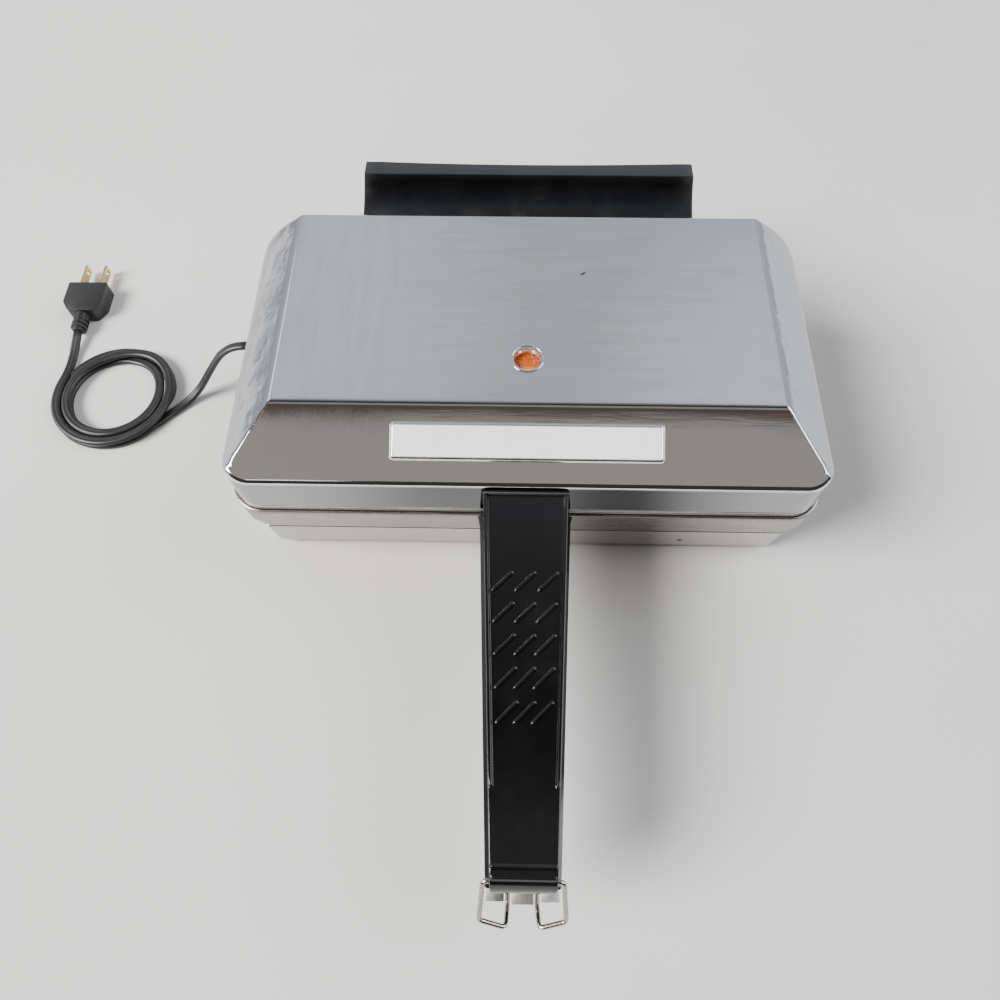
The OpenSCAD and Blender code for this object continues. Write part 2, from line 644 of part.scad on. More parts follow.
// Ear of a bracket: an eye round the pin, and an arm given in the side view
module ear(x, arm) translate([x, 0, 0]) along_x(ear_t) {
    translate([hinge_y, hinge_z]) circle(eye_r);
    polygon(arm);
}

module pin_hole(r) translate([0, hinge_y, hinge_z]) rotate([0, 90, 0]) cylinder(r = r, h = lid_w);

function back(z) = lid_d - wall_at(z);
module lower_hinge_brackets() color("gainsboro") place() both_sides() difference() {
    union() {
        for (s = [-1, 1]) ear(hinge_x + s * lower_ears, [[back(34) + 1, 34], [hinge_y + 1, hinge_z - 5.9],
            [hinge_y + 1, hinge_z + 5.9], [back(53) + 1, 53]]);
        translate([hinge_x, 0, 0]) along_x(2 * lower_ears + ear_t)
            polygon([[back(34), 34], [back(34) + 2, 34], [back(53) + 2, 53], [back(53), 53]]);
    }
    pin_hole(pin_d / 2 + 0.02);
    for (z = lower_screw_z) bar_y(hinge_x, z, 1.6, lid_d - 8, lid_d + 6);
}

module lower_hinge_screws() color("gray") place() for (x = [-hinge_x, hinge_x], z = lower_screw_z)
    screw_y(x, z, 1.5, lid_d - wall_at(z) + 2.75, lid_d - 14);

module upper_hinge_brackets() color("gainsboro") place() both_sides() difference() {
    union() {
        for (s = [-1, 1]) ear(hinge_x + s * upper_ears, [[lid_d + 1, 64], [hinge_y - 5.8, hinge_z + 1.5],
            [hinge_y + 5.8, hinge_z + 1.5], [lid_d + 8, 79], [lid_d + 1, 79]]);
        translate([hinge_x, 0, 0]) along_x(2 * upper_ears + ear_t) translate([lid_d, 63]) square([2, 17]);
    }
    pin_hole(pin_d / 2 + 0.06);
    for (z = upper_screw_z) bar_y(hinge_x, z, 1.6, lid_d - 1, lid_d + 3);
}

module upper_hinge_screws() color("gray") place() for (x = [-hinge_x, hinge_x], z = upper_screw_z)
    screw_y(x, z, 1.5, lid_d + 2, lid_d - 7);

module hinge_pins() color("lightgray") place() both_sides()
    translate([hinge_x, hinge_y, hinge_z]) rotate([0, 90, 0]) {
        half_length = lower_ears + ear_t / 2;
        cylinder(d = pin_d, h = 2 * half_length, center = true);
        for (s = [0, 1]) mirror([0, 0, s]) translate([0, 0, half_length]) cylinder(r1 = 4, r2 = 3.2, h = 1.6);
    }

// ---------- cord ----------

// Tapered sleeve round the cord where it leaves the wall, with a groove for the edge of the hole
module strain_relief() color("black") place() translate(cord_exit) rotate([0, -90, 0]) {
    taper = LEAD[0].x - cord_exit.x;
    translate([0, 0, -6]) cylinder(r = 6, h = 3);
    translate([0, 0, -3]) cylinder(r = 4.5, h = 6);
    hull() {
        translate([0, 0, 1.2]) linear_extrude(0.1) round_slot(6.4, 6.4);
        translate([0, 0, -taper - 0.1]) linear_extrude(0.1) rotate(90) round_slot(cord_w + 1, cord_t + 1);
    }
}

module power_cord() color("black") place() {
    for (path = [LEAD, TAIL]) tube(path, level(along(path)), cord_w, cord_t, 10);
}

// Outer form of the coiled cord: two rings wide and two layers high
module cord_coil() color("black") place() translate([coil_at.x, coil_at.y, 0]) rotate_extrude()
    polygon(rounded([[coil_r[0] - cord_w / 2, 0], [coil_r[1] + cord_w / 2, 0],
        [coil_r[1] + cord_w / 2, 2 * cord_t], [coil_r[0] - cord_w / 2, 2 * cord_t]], [1.5, 1.5, 1.5, 1.5], 3));

// Two-pin plug: a ribbed neck and a body that widens towards its face
module plug_body() color("black") place() translate([TAIL[6].x, TAIL[6].y, 0]) {
    translate([0, 0, plug_z]) rotate([-90, 0, 0]) {
        cylinder(r1 = 3.2, r2 = 4.6, h = 14);
        for (y = [2:3:11]) translate([0, 0, y]) cylinder(r = 4.8, h = 1.5);
    }
    linear_extrude(2 * plug_z) polygon(rounded([[-8, 13], [8, 13], [12.4, 20], [12.4, 36], [-12.4, 36],
        [-12.4, 20]], [3, 3, 4, 1, 1, 4]));
}

module plug_blades() color("gold") place() translate([TAIL[6].x, TAIL[6].y + 36, plug_z])
    for (s = [-1, 1]) translate([s * 6.35, 0, 0]) difference() {
        translate([-0.75, -4, -3.15]) cube([1.5, 21, 6.3]);
        translate([-2, 13, 0]) rotate([0, 90, 0]) cylinder(r = 1.6, h = 4);
    }

lower_shell();
lower_grill_plate();
lower_heating_element();
lower_element_clamps();
lower_reflector();
base_cover();
base_cover_screws();
rubber_feet();
thermostat();
terminal_block();
lower_handle();
lower_handle_gasket();
lower_handle_bolts();
strike_plate();
strike_plate_screws();
lower_hinge_brackets();
lower_hinge_screws();
hinge_pins();
strain_relief();
power_cord();
cord_coil();
plug_body();
plug_blades();
lid_shell();
upper_grill_plate();
upper_heating_element();
upper_element_clamps();
upper_reflector();
nameplate();
lamp_bezel();
lamp_lens();
neon_lamp();
upper_handle();
upper_handle_gasket();
upper_handle_bolts();
rear_rest();
rest_screws();
upper_hinge_brackets();
upper_hinge_screws();
latch_bail();
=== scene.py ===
"""Dressed model of an electric pizzelle baker: chrome covers, black handles, wire latch and flat cord."""

import json
import math

import bmesh
import bpy
from mathutils import Matrix, Vector


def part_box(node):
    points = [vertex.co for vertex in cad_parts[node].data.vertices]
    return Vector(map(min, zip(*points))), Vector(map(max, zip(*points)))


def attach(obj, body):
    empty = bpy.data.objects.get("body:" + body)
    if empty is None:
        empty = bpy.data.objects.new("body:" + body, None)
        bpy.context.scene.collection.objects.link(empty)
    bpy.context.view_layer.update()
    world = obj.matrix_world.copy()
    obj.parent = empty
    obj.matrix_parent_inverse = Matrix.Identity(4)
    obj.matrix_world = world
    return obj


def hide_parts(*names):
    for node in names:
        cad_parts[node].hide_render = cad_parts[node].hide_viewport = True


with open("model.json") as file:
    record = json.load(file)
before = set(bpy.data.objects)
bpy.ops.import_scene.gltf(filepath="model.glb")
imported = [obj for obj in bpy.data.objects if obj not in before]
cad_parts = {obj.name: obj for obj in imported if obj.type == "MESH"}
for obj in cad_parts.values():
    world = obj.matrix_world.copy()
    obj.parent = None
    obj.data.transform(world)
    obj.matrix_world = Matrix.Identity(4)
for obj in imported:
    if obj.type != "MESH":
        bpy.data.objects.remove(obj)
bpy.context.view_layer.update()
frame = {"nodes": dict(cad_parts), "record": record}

MM = 0.001
LID_LOW, LID_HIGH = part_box("lid_shell")
LID_W = (LID_HIGH.x - LID_LOW.x) / MM
LID_D = (LID_HIGH.y - LID_LOW.y) / MM
LID_TOP = LID_HIGH.z / MM
SKIRT_LOW = LID_LOW.z / MM
FRONT = LID_LOW.y / MM
FRONT_SLOPE, SIDE_SLOPE = 35.5, 22.5


def at(x, y, z):
    """A point given in millimetres, with y counted from the front of the lid."""
    return Vector((x, y + FRONT, z)) * MM


# In metres: where the lid's front slope meets its top
FRONT_BEND = (FRONT + FRONT_SLOPE) * MM
LENS_LOW, LENS_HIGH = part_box("lamp_lens")
LENS_MIDDLE = (LENS_LOW + LENS_HIGH) / 2


# ---------- camera ----------

CAMERA_AT = (-6.763, -169.418, 402.867)
CAMERA_PITCH, CAMERA_YAW, CAMERA_ROLL = (math.radians(a) for a in (62.985, -1.813, -0.796))
LENS = 28.438


def make_camera():
    """The camera as fitted to the photo, turned by yaw and pitch and then rolled about its own axis."""
    forward = Vector((math.sin(CAMERA_YAW) * math.cos(CAMERA_PITCH),
                      math.cos(CAMERA_YAW) * math.cos(CAMERA_PITCH), -math.sin(CAMERA_PITCH)))
    right = Vector((math.cos(CAMERA_YAW), -math.sin(CAMERA_YAW), 0))
    up = right.cross(forward)
    c, s = math.cos(CAMERA_ROLL), math.sin(CAMERA_ROLL)
    axes = (c * right + s * up, c * up - s * right, -forward)
    camera = bpy.data.objects.new("camera", bpy.data.cameras.new("camera"))
    camera.data.lens = LENS
    camera.data.clip_start = 0.01
    camera.matrix_world = Matrix.Translation(at(*CAMERA_AT)) @ Matrix(axes).transposed().to_4x4()
    bpy.context.collection.objects.link(camera)
    bpy.context.scene.camera = camera


# ---------- nodes of a material ----------

class Nodes:
    """A node tree, with short calls for the nodes used here."""

    def __init__(self, tree):
        self.tree = tree

    def add(self, kind, **settings):
        node = self.tree.nodes.new(kind)
        for key, value in settings.items():
            setattr(node, key, value)
        return node

    def link(self, source, target):
        self.tree.links.new(source, target)

    def fade(self, value, start, end):
        """0 up to start and 1 from end; start may be above end."""
        node = self.add("ShaderNodeMapRange", interpolation_type="SMOOTHSTEP")
        self.link(value, node.inputs["Value"])
        node.inputs["From Min"].default_value = start
        node.inputs["From Max"].default_value = end
        return node.outputs["Result"]

    def ramp(self, value, stops):
        """A colour, or a grey where a stop has one number, for each place along the ramp."""
        node = self.add("ShaderNodeValToRGB")
        for i, (place, color) in enumerate(stops):
            stop = node.color_ramp.elements[i] if i < 2 else node.color_ramp.elements.new(place)
            stop.position = place
            stop.color = (*color, 1.0) if isinstance(color, tuple) else (color, color, color, 1.0)
        self.link(value, node.inputs["Fac"])
        return node.outputs["Color"]

    def math(self, kind, *values):
        node = self.add("ShaderNodeMath", operation=kind)
        for socket, value in zip(node.inputs, values):
            if isinstance(value, (int, float)):
                socket.default_value = value
            else:
                self.link(value, socket)
        return node.outputs["Value"]

    def mix(self, amount, a, b):
        """Colour a where the amount is 0 and b where it is 1."""
        node = self.add("ShaderNodeMix", data_type="RGBA")
        self.link(amount, node.inputs["Factor"])
        for socket, value in ((node.inputs[6], a), (node.inputs[7], b)):
            if isinstance(value, tuple):
                socket.default_value = (*value, 1.0)
            else:
                self.link(value, socket)
        return node.outputs[2]


class Shader(Nodes):
    """A material's node tree. Patterns lie in the object's own coordinates, in metres."""

    def __init__(self, name, color, metallic=0.0, roughness=0.5, **sockets):
        self.material = bpy.data.materials.new(name)
        self.material.use_nodes = True
        super().__init__(self.material.node_tree)
        self.main = self.tree.nodes["Principled BSDF"]
        self.set("Base Color", (*color, 1.0))
        self.set("Metallic", metallic)
        self.set("Roughness", roughness)
        for socket, value in sockets.items():
            self.set(socket.replace("_", " "), value)
        self.place = self.add("ShaderNodeTexCoord").outputs["Object"]

    def set(self, socket, value):
        self.main.inputs[socket].default_value = value

    def stretched(self, scale, turn):
        node = self.add("ShaderNodeMapping")
        node.inputs["Scale"].default_value = scale
        node.inputs["Rotation"].default_value = (0, 0, turn)
        self.link(self.place, node.inputs["Vector"])
        return node.outputs["Vector"]

    def noise(self, scale, detail=3.0, rough=0.5, stretch=None, turn=0.0, distortion=0.0):
        """Noise over the object; stretch scales its coordinates along each axis and turn rotates them."""
        node = self.add("ShaderNodeTexNoise")
        node.inputs["Scale"].default_value = scale
        node.inputs["Detail"].default_value = detail
        node.inputs["Roughness"].default_value = rough
        node.inputs["Distortion"].default_value = distortion
        self.link(self.stretched(stretch, turn) if stretch else self.place, node.inputs["Vector"])
        return node.outputs["Fac"]

    def axis(self, name):
        """One coordinate of the object's place, in metres."""
        node = self.add("ShaderNodeSeparateXYZ")
        self.link(self.place, node.inputs["Vector"])
        return node.outputs[name]

    def color(self, source):
        self.link(source, self.main.inputs["Base Color"])

    def roughness(self, source):
        self.link(source, self.main.inputs["Roughness"])

    def bump(self, *layers):
        """Bumps laid over each other, each a height and its depth in millimetres."""
        normal = None
        for height, depth in layers:
            node = self.add("ShaderNodeBump")
            node.inputs["Distance"].default_value = depth * MM
            self.link(height, node.inputs["Height"])
            if normal:
                self.link(normal, node.inputs["Normal"])
            normal = node.outputs["Normal"]
        self.link(normal, self.main.inputs["Normal"])

    def edges(self, amount, low, high):
        """Where the surface turns outwards sharply, for wear along edges and a painted highlight there."""
        pointed = self.add("ShaderNodeNewGeometry").outputs["Pointiness"]
        return self.math("MULTIPLY", self.ramp(pointed, [(low, 0.0), (high, 1.0)]), amount)


# ---------- materials ----------

NICK_AT, NICK_SIZE, NICK_TURN = (27.8, 114.4, LID_TOP), (2.4, 0.8, 2), 35
# The hole in the lower cover's front is painted shade: a near-black mark at this spot
HOLE_AT, HOLE_SIZE = (84, 6.4, 13.6), (2.1, 6, 2.1)


def spot(s, centre, size, turn=0.0):
    """Where a small oval mark lies, round a middle in millimetres. A size of 1 is a radius of 0.7 mm."""
    near = s.add("ShaderNodeVectorMath", operation="DISTANCE")
    turned = s.add("ShaderNodeMapping", vector_type="TEXTURE")
    turned.inputs["Location"].default_value = at(*centre)
    turned.inputs["Rotation"].default_value = (0, 0, math.radians(turn))
    turned.inputs["Scale"].default_value = size
    s.link(s.place, turned.inputs["Vector"])
    s.link(turned.outputs["Vector"], near.inputs[0])
    return s.fade(near.outputs["Value"], 0.0009, 0.0005)


def chrome_cover():
    """Bright plate with a thin film of wiping marks: along x, and along y on the left third of the top.

    The side slopes and the front skirt are painted darker as painted shade, the skirt most of all beside the
    handle."""
    s = Shader("chrome_cover", (0.80, 0.805, 0.815), 1.0, 0.06)
    along_x = s.noise(1, 7, 0.62, (26, 330, 330), 0.03, 0.3)
    along_y = s.noise(1, 6, 0.6, (240, 20, 240), 0.05, 0.3)
    wipes = s.mix(s.fade(s.axis("X"), -0.035, -0.085), along_x, along_y)
    patches = s.noise(13, 3, 0.55, distortion=0.6)
    marks = s.math("MULTIPLY", s.ramp(wipes, [(0.38, 0.0), (0.66, 1.0)]),
                   s.ramp(patches, [(0.32, 0.15), (0.68, 1.0)]))
    behind = s.fade(s.axis("Y"), FRONT_BEND - 0.002, FRONT_BEND)
    marks = s.math("MULTIPLY", marks, s.ramp(behind, [(0.0, 0.3), (1.0, 1.0)]))

    out = s.math("ABSOLUTE", s.axis("X"))
    corner = s.math("MULTIPLY", s.math("SUBTRACT", s.axis("Y"), FRONT_BEND), SIDE_SLOPE / FRONT_SLOPE)
    # Painted shade: where the side slopes are darker and bluer than the top
    sides = s.math("MULTIPLY", s.fade(out, 0.118, 0.124), s.fade(s.math("ADD", out, corner), 0.1185, 0.1205))
    # Painted shade: the front skirt, painted darker than the top
    skirt = s.math("MULTIPLY", s.fade(s.axis("Z"), 0.083, 0.081),
                   s.fade(s.axis("Y"), FRONT_BEND, FRONT_BEND - 0.02))
    # Painted shade: the skirt darker still beside the handle, for the handle's shadow
    handle_shade = s.math("MULTIPLY", skirt, s.fade(out, 0.125, 0.03))

    film = s.mix(s.ramp(s.noise(6, 2), [(0.35, 0.0), (0.65, 1.0)]), (0.68, 0.70, 0.725), (0.71, 0.70, 0.70))
    plate = s.mix(spot(s, NICK_AT, NICK_SIZE, NICK_TURN), s.mix(marks, (0.82, 0.825, 0.835), film),
                  (0.12, 0.11, 0.11))
    # Painted shade: the side slopes, the skirt, and the skirt beside the handle get darker greys
    plate = s.mix(sides, plate, (0.47, 0.49, 0.525))
    plate = s.mix(skirt, plate, (0.34, 0.343, 0.35))
    s.color(s.mix(handle_shade, plate, (0.13, 0.132, 0.14)))
    s.roughness(s.math("ADD", s.math("MULTIPLY", marks, 0.13), s.ramp(patches, [(0.3, 0.035), (0.7, 0.07)])))
    dents = s.math("MULTIPLY", s.noise(42, 3, 0.5), sides)
    s.bump((s.noise(8, 2, 0.45), 0.5), (dents, 0.25), (wipes, 0.012))
    return s.material


def casing():
    """The lower cover's duller plate: rubbed streaks and dark specks above its crease, cleaner below it.
    Above the crease it is also painted darker as painted shade, and beside the handle it is an even grey as
    painted shade.

    The small hole in its front wall is a dark mark, painted shade without depth."""
    s = Shader("casing", (0.74, 0.725, 0.70), 1.0, 0.2)
    streaks = s.noise(1, 6, 0.65, (45, 45, 900), distortion=0.4)
    specks = s.noise(1, 3, 0.6, (420, 420, 900))
    worn = s.math("MULTIPLY", s.ramp(streaks, [(0.4, 0.0), (0.68, 1.0)]),
                  s.ramp(specks, [(0.35, 0.5), (0.6, 1.0)]))
    # Rubbed streaks and specks, and painted shade: above the crease the plate is darker than below it
    above = s.fade(s.axis("Z"), 0.0262, 0.0285)
    # Painted shade: beside the handle the plate above the crease takes an even grey
    handle_shade = s.fade(s.math("ABSOLUTE", s.axis("X")), 0.12, 0.03)
    dull = s.mix(worn, (0.32, 0.311, 0.30), (0.215, 0.206, 0.195))
    dull = s.mix(handle_shade, dull, (0.27, 0.262, 0.25))
    plate = s.mix(above, (0.50, 0.49, 0.477), dull)
    # Painted shade: the hole as a near-black spot
    s.color(s.mix(spot(s, HOLE_AT, HOLE_SIZE), plate, (0.004, 0.004, 0.004)))
    s.roughness(s.math("ADD", s.math("MULTIPLY", worn, 0.12), s.ramp(above, [(0.0, 0.13), (1.0, 0.24)])))
    s.bump((s.noise(16, 2), 0.3), (s.math("MULTIPLY", streaks, above), 0.012))
    return s.material


def bright_trim():
    s = Shader("bright_trim", (0.80, 0.79, 0.77), 1.0, 0.1)
    s.roughness(s.ramp(s.noise(400, 3), [(0.3, 0.07), (0.7, 0.2)]))
    s.bump((s.noise(900, 2), 0.01))
    return s.material


def wire():
    s = Shader("wire", (0.70, 0.69, 0.68), 1.0, 0.2)
    drawn = s.noise(300, 3, 0.6, (1, 1, 8))
    s.color(s.mix(s.ramp(drawn, [(0.4, 0.0), (0.7, 1.0)]), (0.50, 0.485, 0.465), (0.26, 0.245, 0.23)))
    s.roughness(s.ramp(drawn, [(0.3, 0.1), (0.7, 0.26)]))
    s.bump((drawn, 0.02))
    return s.material


def strike():
    s = Shader("strike", (0.70, 0.695, 0.67), 1.0, 0.5)
    grain = s.noise(220, 3, 0.6, (8, 1, 1))
    s.color(s.mix(s.ramp(grain, [(0.35, 0.0), (0.7, 1.0)]), (0.62, 0.615, 0.595), (0.48, 0.47, 0.45)))
    s.roughness(s.ramp(grain, [(0.3, 0.42), (0.7, 0.6)]))
    s.bump((grain, 0.03))
    return s.material


def cast_plate():
    s = Shader("cast_plate", (0.60, 0.60, 0.59), 1.0, 0.42)
    sand = s.noise(700, 4, 0.65)
    stain = s.noise(30, 5, 0.6, distortion=0.6)
    s.color(s.mix(s.ramp(stain, [(0.45, 0.0), (0.75, 1.0)]), (0.62, 0.62, 0.61), (0.44, 0.41, 0.37)))
    s.roughness(s.ramp(sand, [(0.3, 0.3), (0.7, 0.52)]))
    s.bump((sand, 0.06))
    return s.material


def element():
    s = Shader("element", (0.22, 0.21, 0.2), 0.9, 0.45)
    heat = s.noise(60, 4, 0.6)
    s.color(s.ramp(heat, [(0.3, (0.16, 0.15, 0.15)), (0.55, (0.24, 0.20, 0.17)), (0.75, (0.15, 0.16, 0.20))]))
    s.roughness(s.ramp(s.noise(500, 3), [(0.3, 0.35), (0.7, 0.6)]))
    return s.material


def zinc():
    s = Shader("zinc", (0.62, 0.64, 0.66), 1.0, 0.35)
    spangle = s.add("ShaderNodeTexVoronoi")
    spangle.inputs["Scale"].default_value = 220
    s.link(s.place, spangle.inputs["Vector"])
    s.color(s.ramp(spangle.outputs["Distance"], [(0.0, (0.56, 0.58, 0.60)), (0.6, (0.68, 0.70, 0.72))]))
    s.roughness(s.ramp(s.noise(350, 3), [(0.3, 0.25), (0.7, 0.45)]))
    s.bump((s.noise(600, 3), 0.015))
    return s.material


def pan():
    s = Shader("pan", (0.74, 0.74, 0.75), 1.0, 0.25)
    rolled = s.noise(120, 3, 0.5, (0.3, 6, 1))
    s.roughness(s.ramp(rolled, [(0.3, 0.15), (0.7, 0.35)]))
    s.bump((rolled, 0.02))
    return s.material


def screw():
    s = Shader("screw", (0.58, 0.58, 0.58), 1.0, 0.3)
    s.roughness(s.ramp(s.noise(900, 3), [(0.3, 0.2), (0.7, 0.42)]))
    s.bump((s.noise(1200, 2), 0.01))
    return s.material


def black(name, color, roughness, grain, depth, wear, dusty=0.35, **sockets):
    """A black moulding or rubber: fine grain, dust, and paler edges that are partly wear and partly painted
    highlight.
    """
    s = Shader(name, color, 0.0, roughness, **sockets)
    dust = s.ramp(s.noise(38, 6, 0.7), [(0.52, 0.0), (0.85, 1.0)])
    base = s.mix(s.math("MULTIPLY", dust, dusty), color, tuple(c + 0.05 for c in color))
    # Paler edges: wear and painted highlight
    s.color(s.mix(s.edges(wear, 0.52, 0.62), base, tuple(c + 0.16 for c in color)))
    s.roughness(s.math("ADD", s.ramp(s.noise(70, 4), [(0.3, roughness - 0.06), (0.7, roughness + 0.08)]),
                       s.math("MULTIPLY", dust, dusty / 3)))
    s.bump((s.noise(grain, 3), depth))
    return s.material


def bakelite():
    s = Shader("bakelite", (0.16, 0.08, 0.04), 0.0, 0.35)
    s.color(s.ramp(s.noise(140, 5, 0.7), [(0.3, (0.12, 0.06, 0.035)), (0.7, (0.24, 0.13, 0.07))]))
    s.bump((s.noise(500, 2), 0.02))
    return s.material


def ceramic():
    s = Shader("ceramic", (0.80, 0.77, 0.70), 0.0, 0.25)
    s.color(s.ramp(s.noise(120, 4), [(0.3, (0.76, 0.73, 0.66)), (0.7, (0.84, 0.81, 0.75))]))
    s.bump((s.noise(300, 3), 0.03))
    return s.material


def brass():
    s = Shader("brass", (0.76, 0.58, 0.30), 1.0, 0.25)
    drawn = s.noise(200, 4, 0.6, (6, 1, 6))
    s.color(s.mix(s.ramp(drawn, [(0.4, 0.0), (0.8, 1.0)]), (0.78, 0.60, 0.32), (0.52, 0.38, 0.20)))
    s.roughness(s.ramp(drawn, [(0.3, 0.18), (0.7, 0.4)]))
    return s.material


def enamel():
    s = Shader("enamel", (0.88, 0.88, 0.87), 0.0, 0.22, Coat_Weight=0.3)
    s.color(s.ramp(s.noise(25, 4), [(0.3, (0.86, 0.86, 0.85)), (0.7, (0.90, 0.90, 0.89))]))
    s.roughness(s.ramp(s.noise(80, 4), [(0.3, 0.16), (0.7, 0.3)]))
    s.bump((s.noise(600, 2), 0.008))
    return s.material


def amber():
    """A faint painted glow from within, and a painted highlight brighter towards the front of the lens."""
    s = Shader("amber", (0.60, 0.13, 0.01), 0.0, 0.3, Specular_IOR_Level=0.25, Emission_Strength=0.08)
    # Painted highlight towards the front; carried into the emission, it is also a painted glow
    front_highlight = s.fade(s.axis("Y"), LENS_MIDDLE.y - 0.0015, LENS_MIDDLE.y - 0.005)
    cells = s.ramp(s.noise(1500, 2), [(0.3, (0.24, 0.032, 0.004)), (0.7, (0.48, 0.10, 0.008))])
    tint = s.mix(front_highlight, cells, (0.95, 0.36, 0.02))
    s.color(tint)
    s.link(tint, s.main.inputs["Emission Color"])
    return s.material


def lamp_glass():
    s = Shader("lamp_glass", (0.95, 0.62, 0.45), 0.0, 0.08, Transmission_Weight=0.6)
    s.color(s.ramp(s.noise(300, 2), [(0.3, (0.95, 0.55, 0.38)), (0.7, (0.98, 0.75, 0.60))]))
    return s.material


MATERIALS = {
    "chrome_cover": chrome_cover(),
    "casing": casing(),
    "bright_trim": bright_trim(),
    "wire": wire(),
    "strike": strike(),
    "cast_plate": cast_plate(),
    "element": element(),
    "zinc": zinc(),
    "pan": pan(),
    "screw": screw(),
    "bakelite": bakelite(),
    "ceramic": ceramic(),
    "brass": brass(),
    "nameplate": enamel(),
    "amber": amber(),
    "lamp_glass": lamp_glass(),
    "handle": black("handle", (0.003, 0.003, 0.0035), 0.14, 500, 0.006, 0.12, 0.08,
                    Coat_Weight=0.3, Coat_Roughness=0.04),
    "rest": black("rest", (0.006, 0.0066, 0.0075), 0.32, 900, 0.02, 0.15, 0.2),
    # Painted shade: near-black material for the lower cover's seam, groove and underside of the rim
    "painted_shade": black("painted_shade", (0.016, 0.015, 0.014), 0.55, 900, 0.02, 0.1, 0.2),
    "rubber": black("rubber", (0.02, 0.02, 0.02), 0.6, 700, 0.05, 0.2),
    "gasket": black("gasket", (0.012, 0.012, 0.012), 0.7, 900, 0.05, 0.2),
    "cord": black("cord", (0.010, 0.010, 0.010), 0.42, 800, 0.02, 0.1),
}


# ---------- mesh helpers ----------

def piece(name, points, faces, slot, body, smooth=True):
    """A mesh in the row frame that rides on a body and takes a material slot's finish."""
    mesh = bpy.data.meshes.new(name)
    mesh.from_pydata(points, [], faces)
    mesh.polygons.foreach_set("use_smooth", [smooth] * len(mesh.polygons))
    tidy = bmesh.new()
    tidy.from_mesh(mesh)
    bmesh.ops.remove_doubles(tidy, verts=tidy.verts, dist=1e-6)
    bmesh.ops.recalc_face_normals(tidy, faces=tidy.faces)
    tidy.to_mesh(mesh)
    tidy.free()
    obj = bpy.data.objects.new(name, mesh)
    bpy.context.collection.objects.link(obj)
    obj.data.materials.append(MATERIALS[slot])
    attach(obj, body)
    return obj


def loft(rings, start=False, end=False, closed=True):
    """Points and faces of a skin over rings of equal length, with flat caps where asked."""
    n = len(rings[0])
    steps = n if closed else n - 1
    points = [p for ring in rings for p in ring]
    faces = [(a * n + i, a * n + (i + 1) % n, (a + 1) * n + (i + 1) % n, (a + 1) * n + i)
             for a in range(len(rings) - 1) for i in range(steps)]
    if start:
        faces.append(tuple(range(n))[::-1])
    if end:
        faces.append(tuple(range(len(points) - n, len(points))))
    return points, faces


def unit(v):
    return v / v.length


def tube(path, section, level=False):
    """A section of (across, up) offsets swept along a path, kept level or carried along without twist."""
    n = len(path)
    along = [unit(path[min(i + 1, n - 1)] - path[max(i - 1, 0)]) for i in range(n)]
    side = unit(along[0].cross(Vector((0, 0, 1)))) * -1
    rings = []
    for i, (p, t) in enumerate(zip(path, along)):
        side = unit(Vector((0, 0, 1)).cross(t)) if level else unit(side - side.dot(t) * t)
        up = t.cross(side)
        shape = section(i / (n - 1)) if callable(section) else section
        rings.append([p + a * side + b * up for a, b in shape])
    return loft(rings, True, True)


def oval(width, height, n):
    """An oval section in metres."""
    return [(width / 2 * math.cos(2 * math.pi * k / n), height / 2 * math.sin(2 * math.pi * k / n))
            for k in range(n)]


def bent(points, radius, steps=6):
    """A path through points with each corner bent to a radius."""
    path = [points[0]]
    for before, here, after in zip(points, points[1:], points[2:]):
        u, v = unit(before - here), unit(after - here)
        half = u.angle(v) / 2
        a = -unit(u + v)
        b = unit(u.cross(v)).cross(a)
        centre = here - a * radius / math.sin(half)
        for k in range(steps + 1):
            turn = (math.pi / 2 - half) * (1 - 2 * k / steps)
            path.append(centre + radius * (math.cos(turn) * a + math.sin(turn) * b))
    return path + [points[-1]]


def smooth_path(points, steps):
    """A Catmull-Rom curve through points."""
    ends = [2 * points[0] - points[1]] + points + [2 * points[-1] - points[-2]]
    path = []
    for a, b, c, d in zip(ends, ends[1:], ends[2:], ends[3:]):
        for k in range(steps):
            t = k / steps
            path.append(0.5 * (2 * b + (c - a) * t + (2 * a - 5 * b + 4 * c - d) * t * t
                               + (3 * b - a - 3 * c + d) * t ** 3))
    return path + [points[-1]]


def ease(x, start, end):
    """0 before start, 1 after end, smooth between."""
    t = min(max((x - start) / (end - start), 0), 1)
    return t * t * (3 - 2 * t)


def rounding(r, gap):
    """How far a round of radius r drops the surface at a gap from its end."""
    return r - math.sqrt(max(r * r - (r - gap) ** 2, 0)) if gap < r else 0


def modify(obj, kind, **settings):
    modifier = obj.modifiers.new(kind.lower(), kind)
    for key, value in settings.items():
        setattr(modifier, key, value)
    return modifier


def soften(obj, width):
    """Small rounds on the sharp edges."""
    obj.data.polygons.foreach_set("use_smooth", [True] * len(obj.data.polygons))
    modify(obj, "WELD", merge_threshold=1e-6)
    modify(obj, "BEVEL", width=width * MM, segments=2, limit_method="ANGLE",
           angle_limit=math.radians(34), harden_normals=True)


# ---------- cord ----------

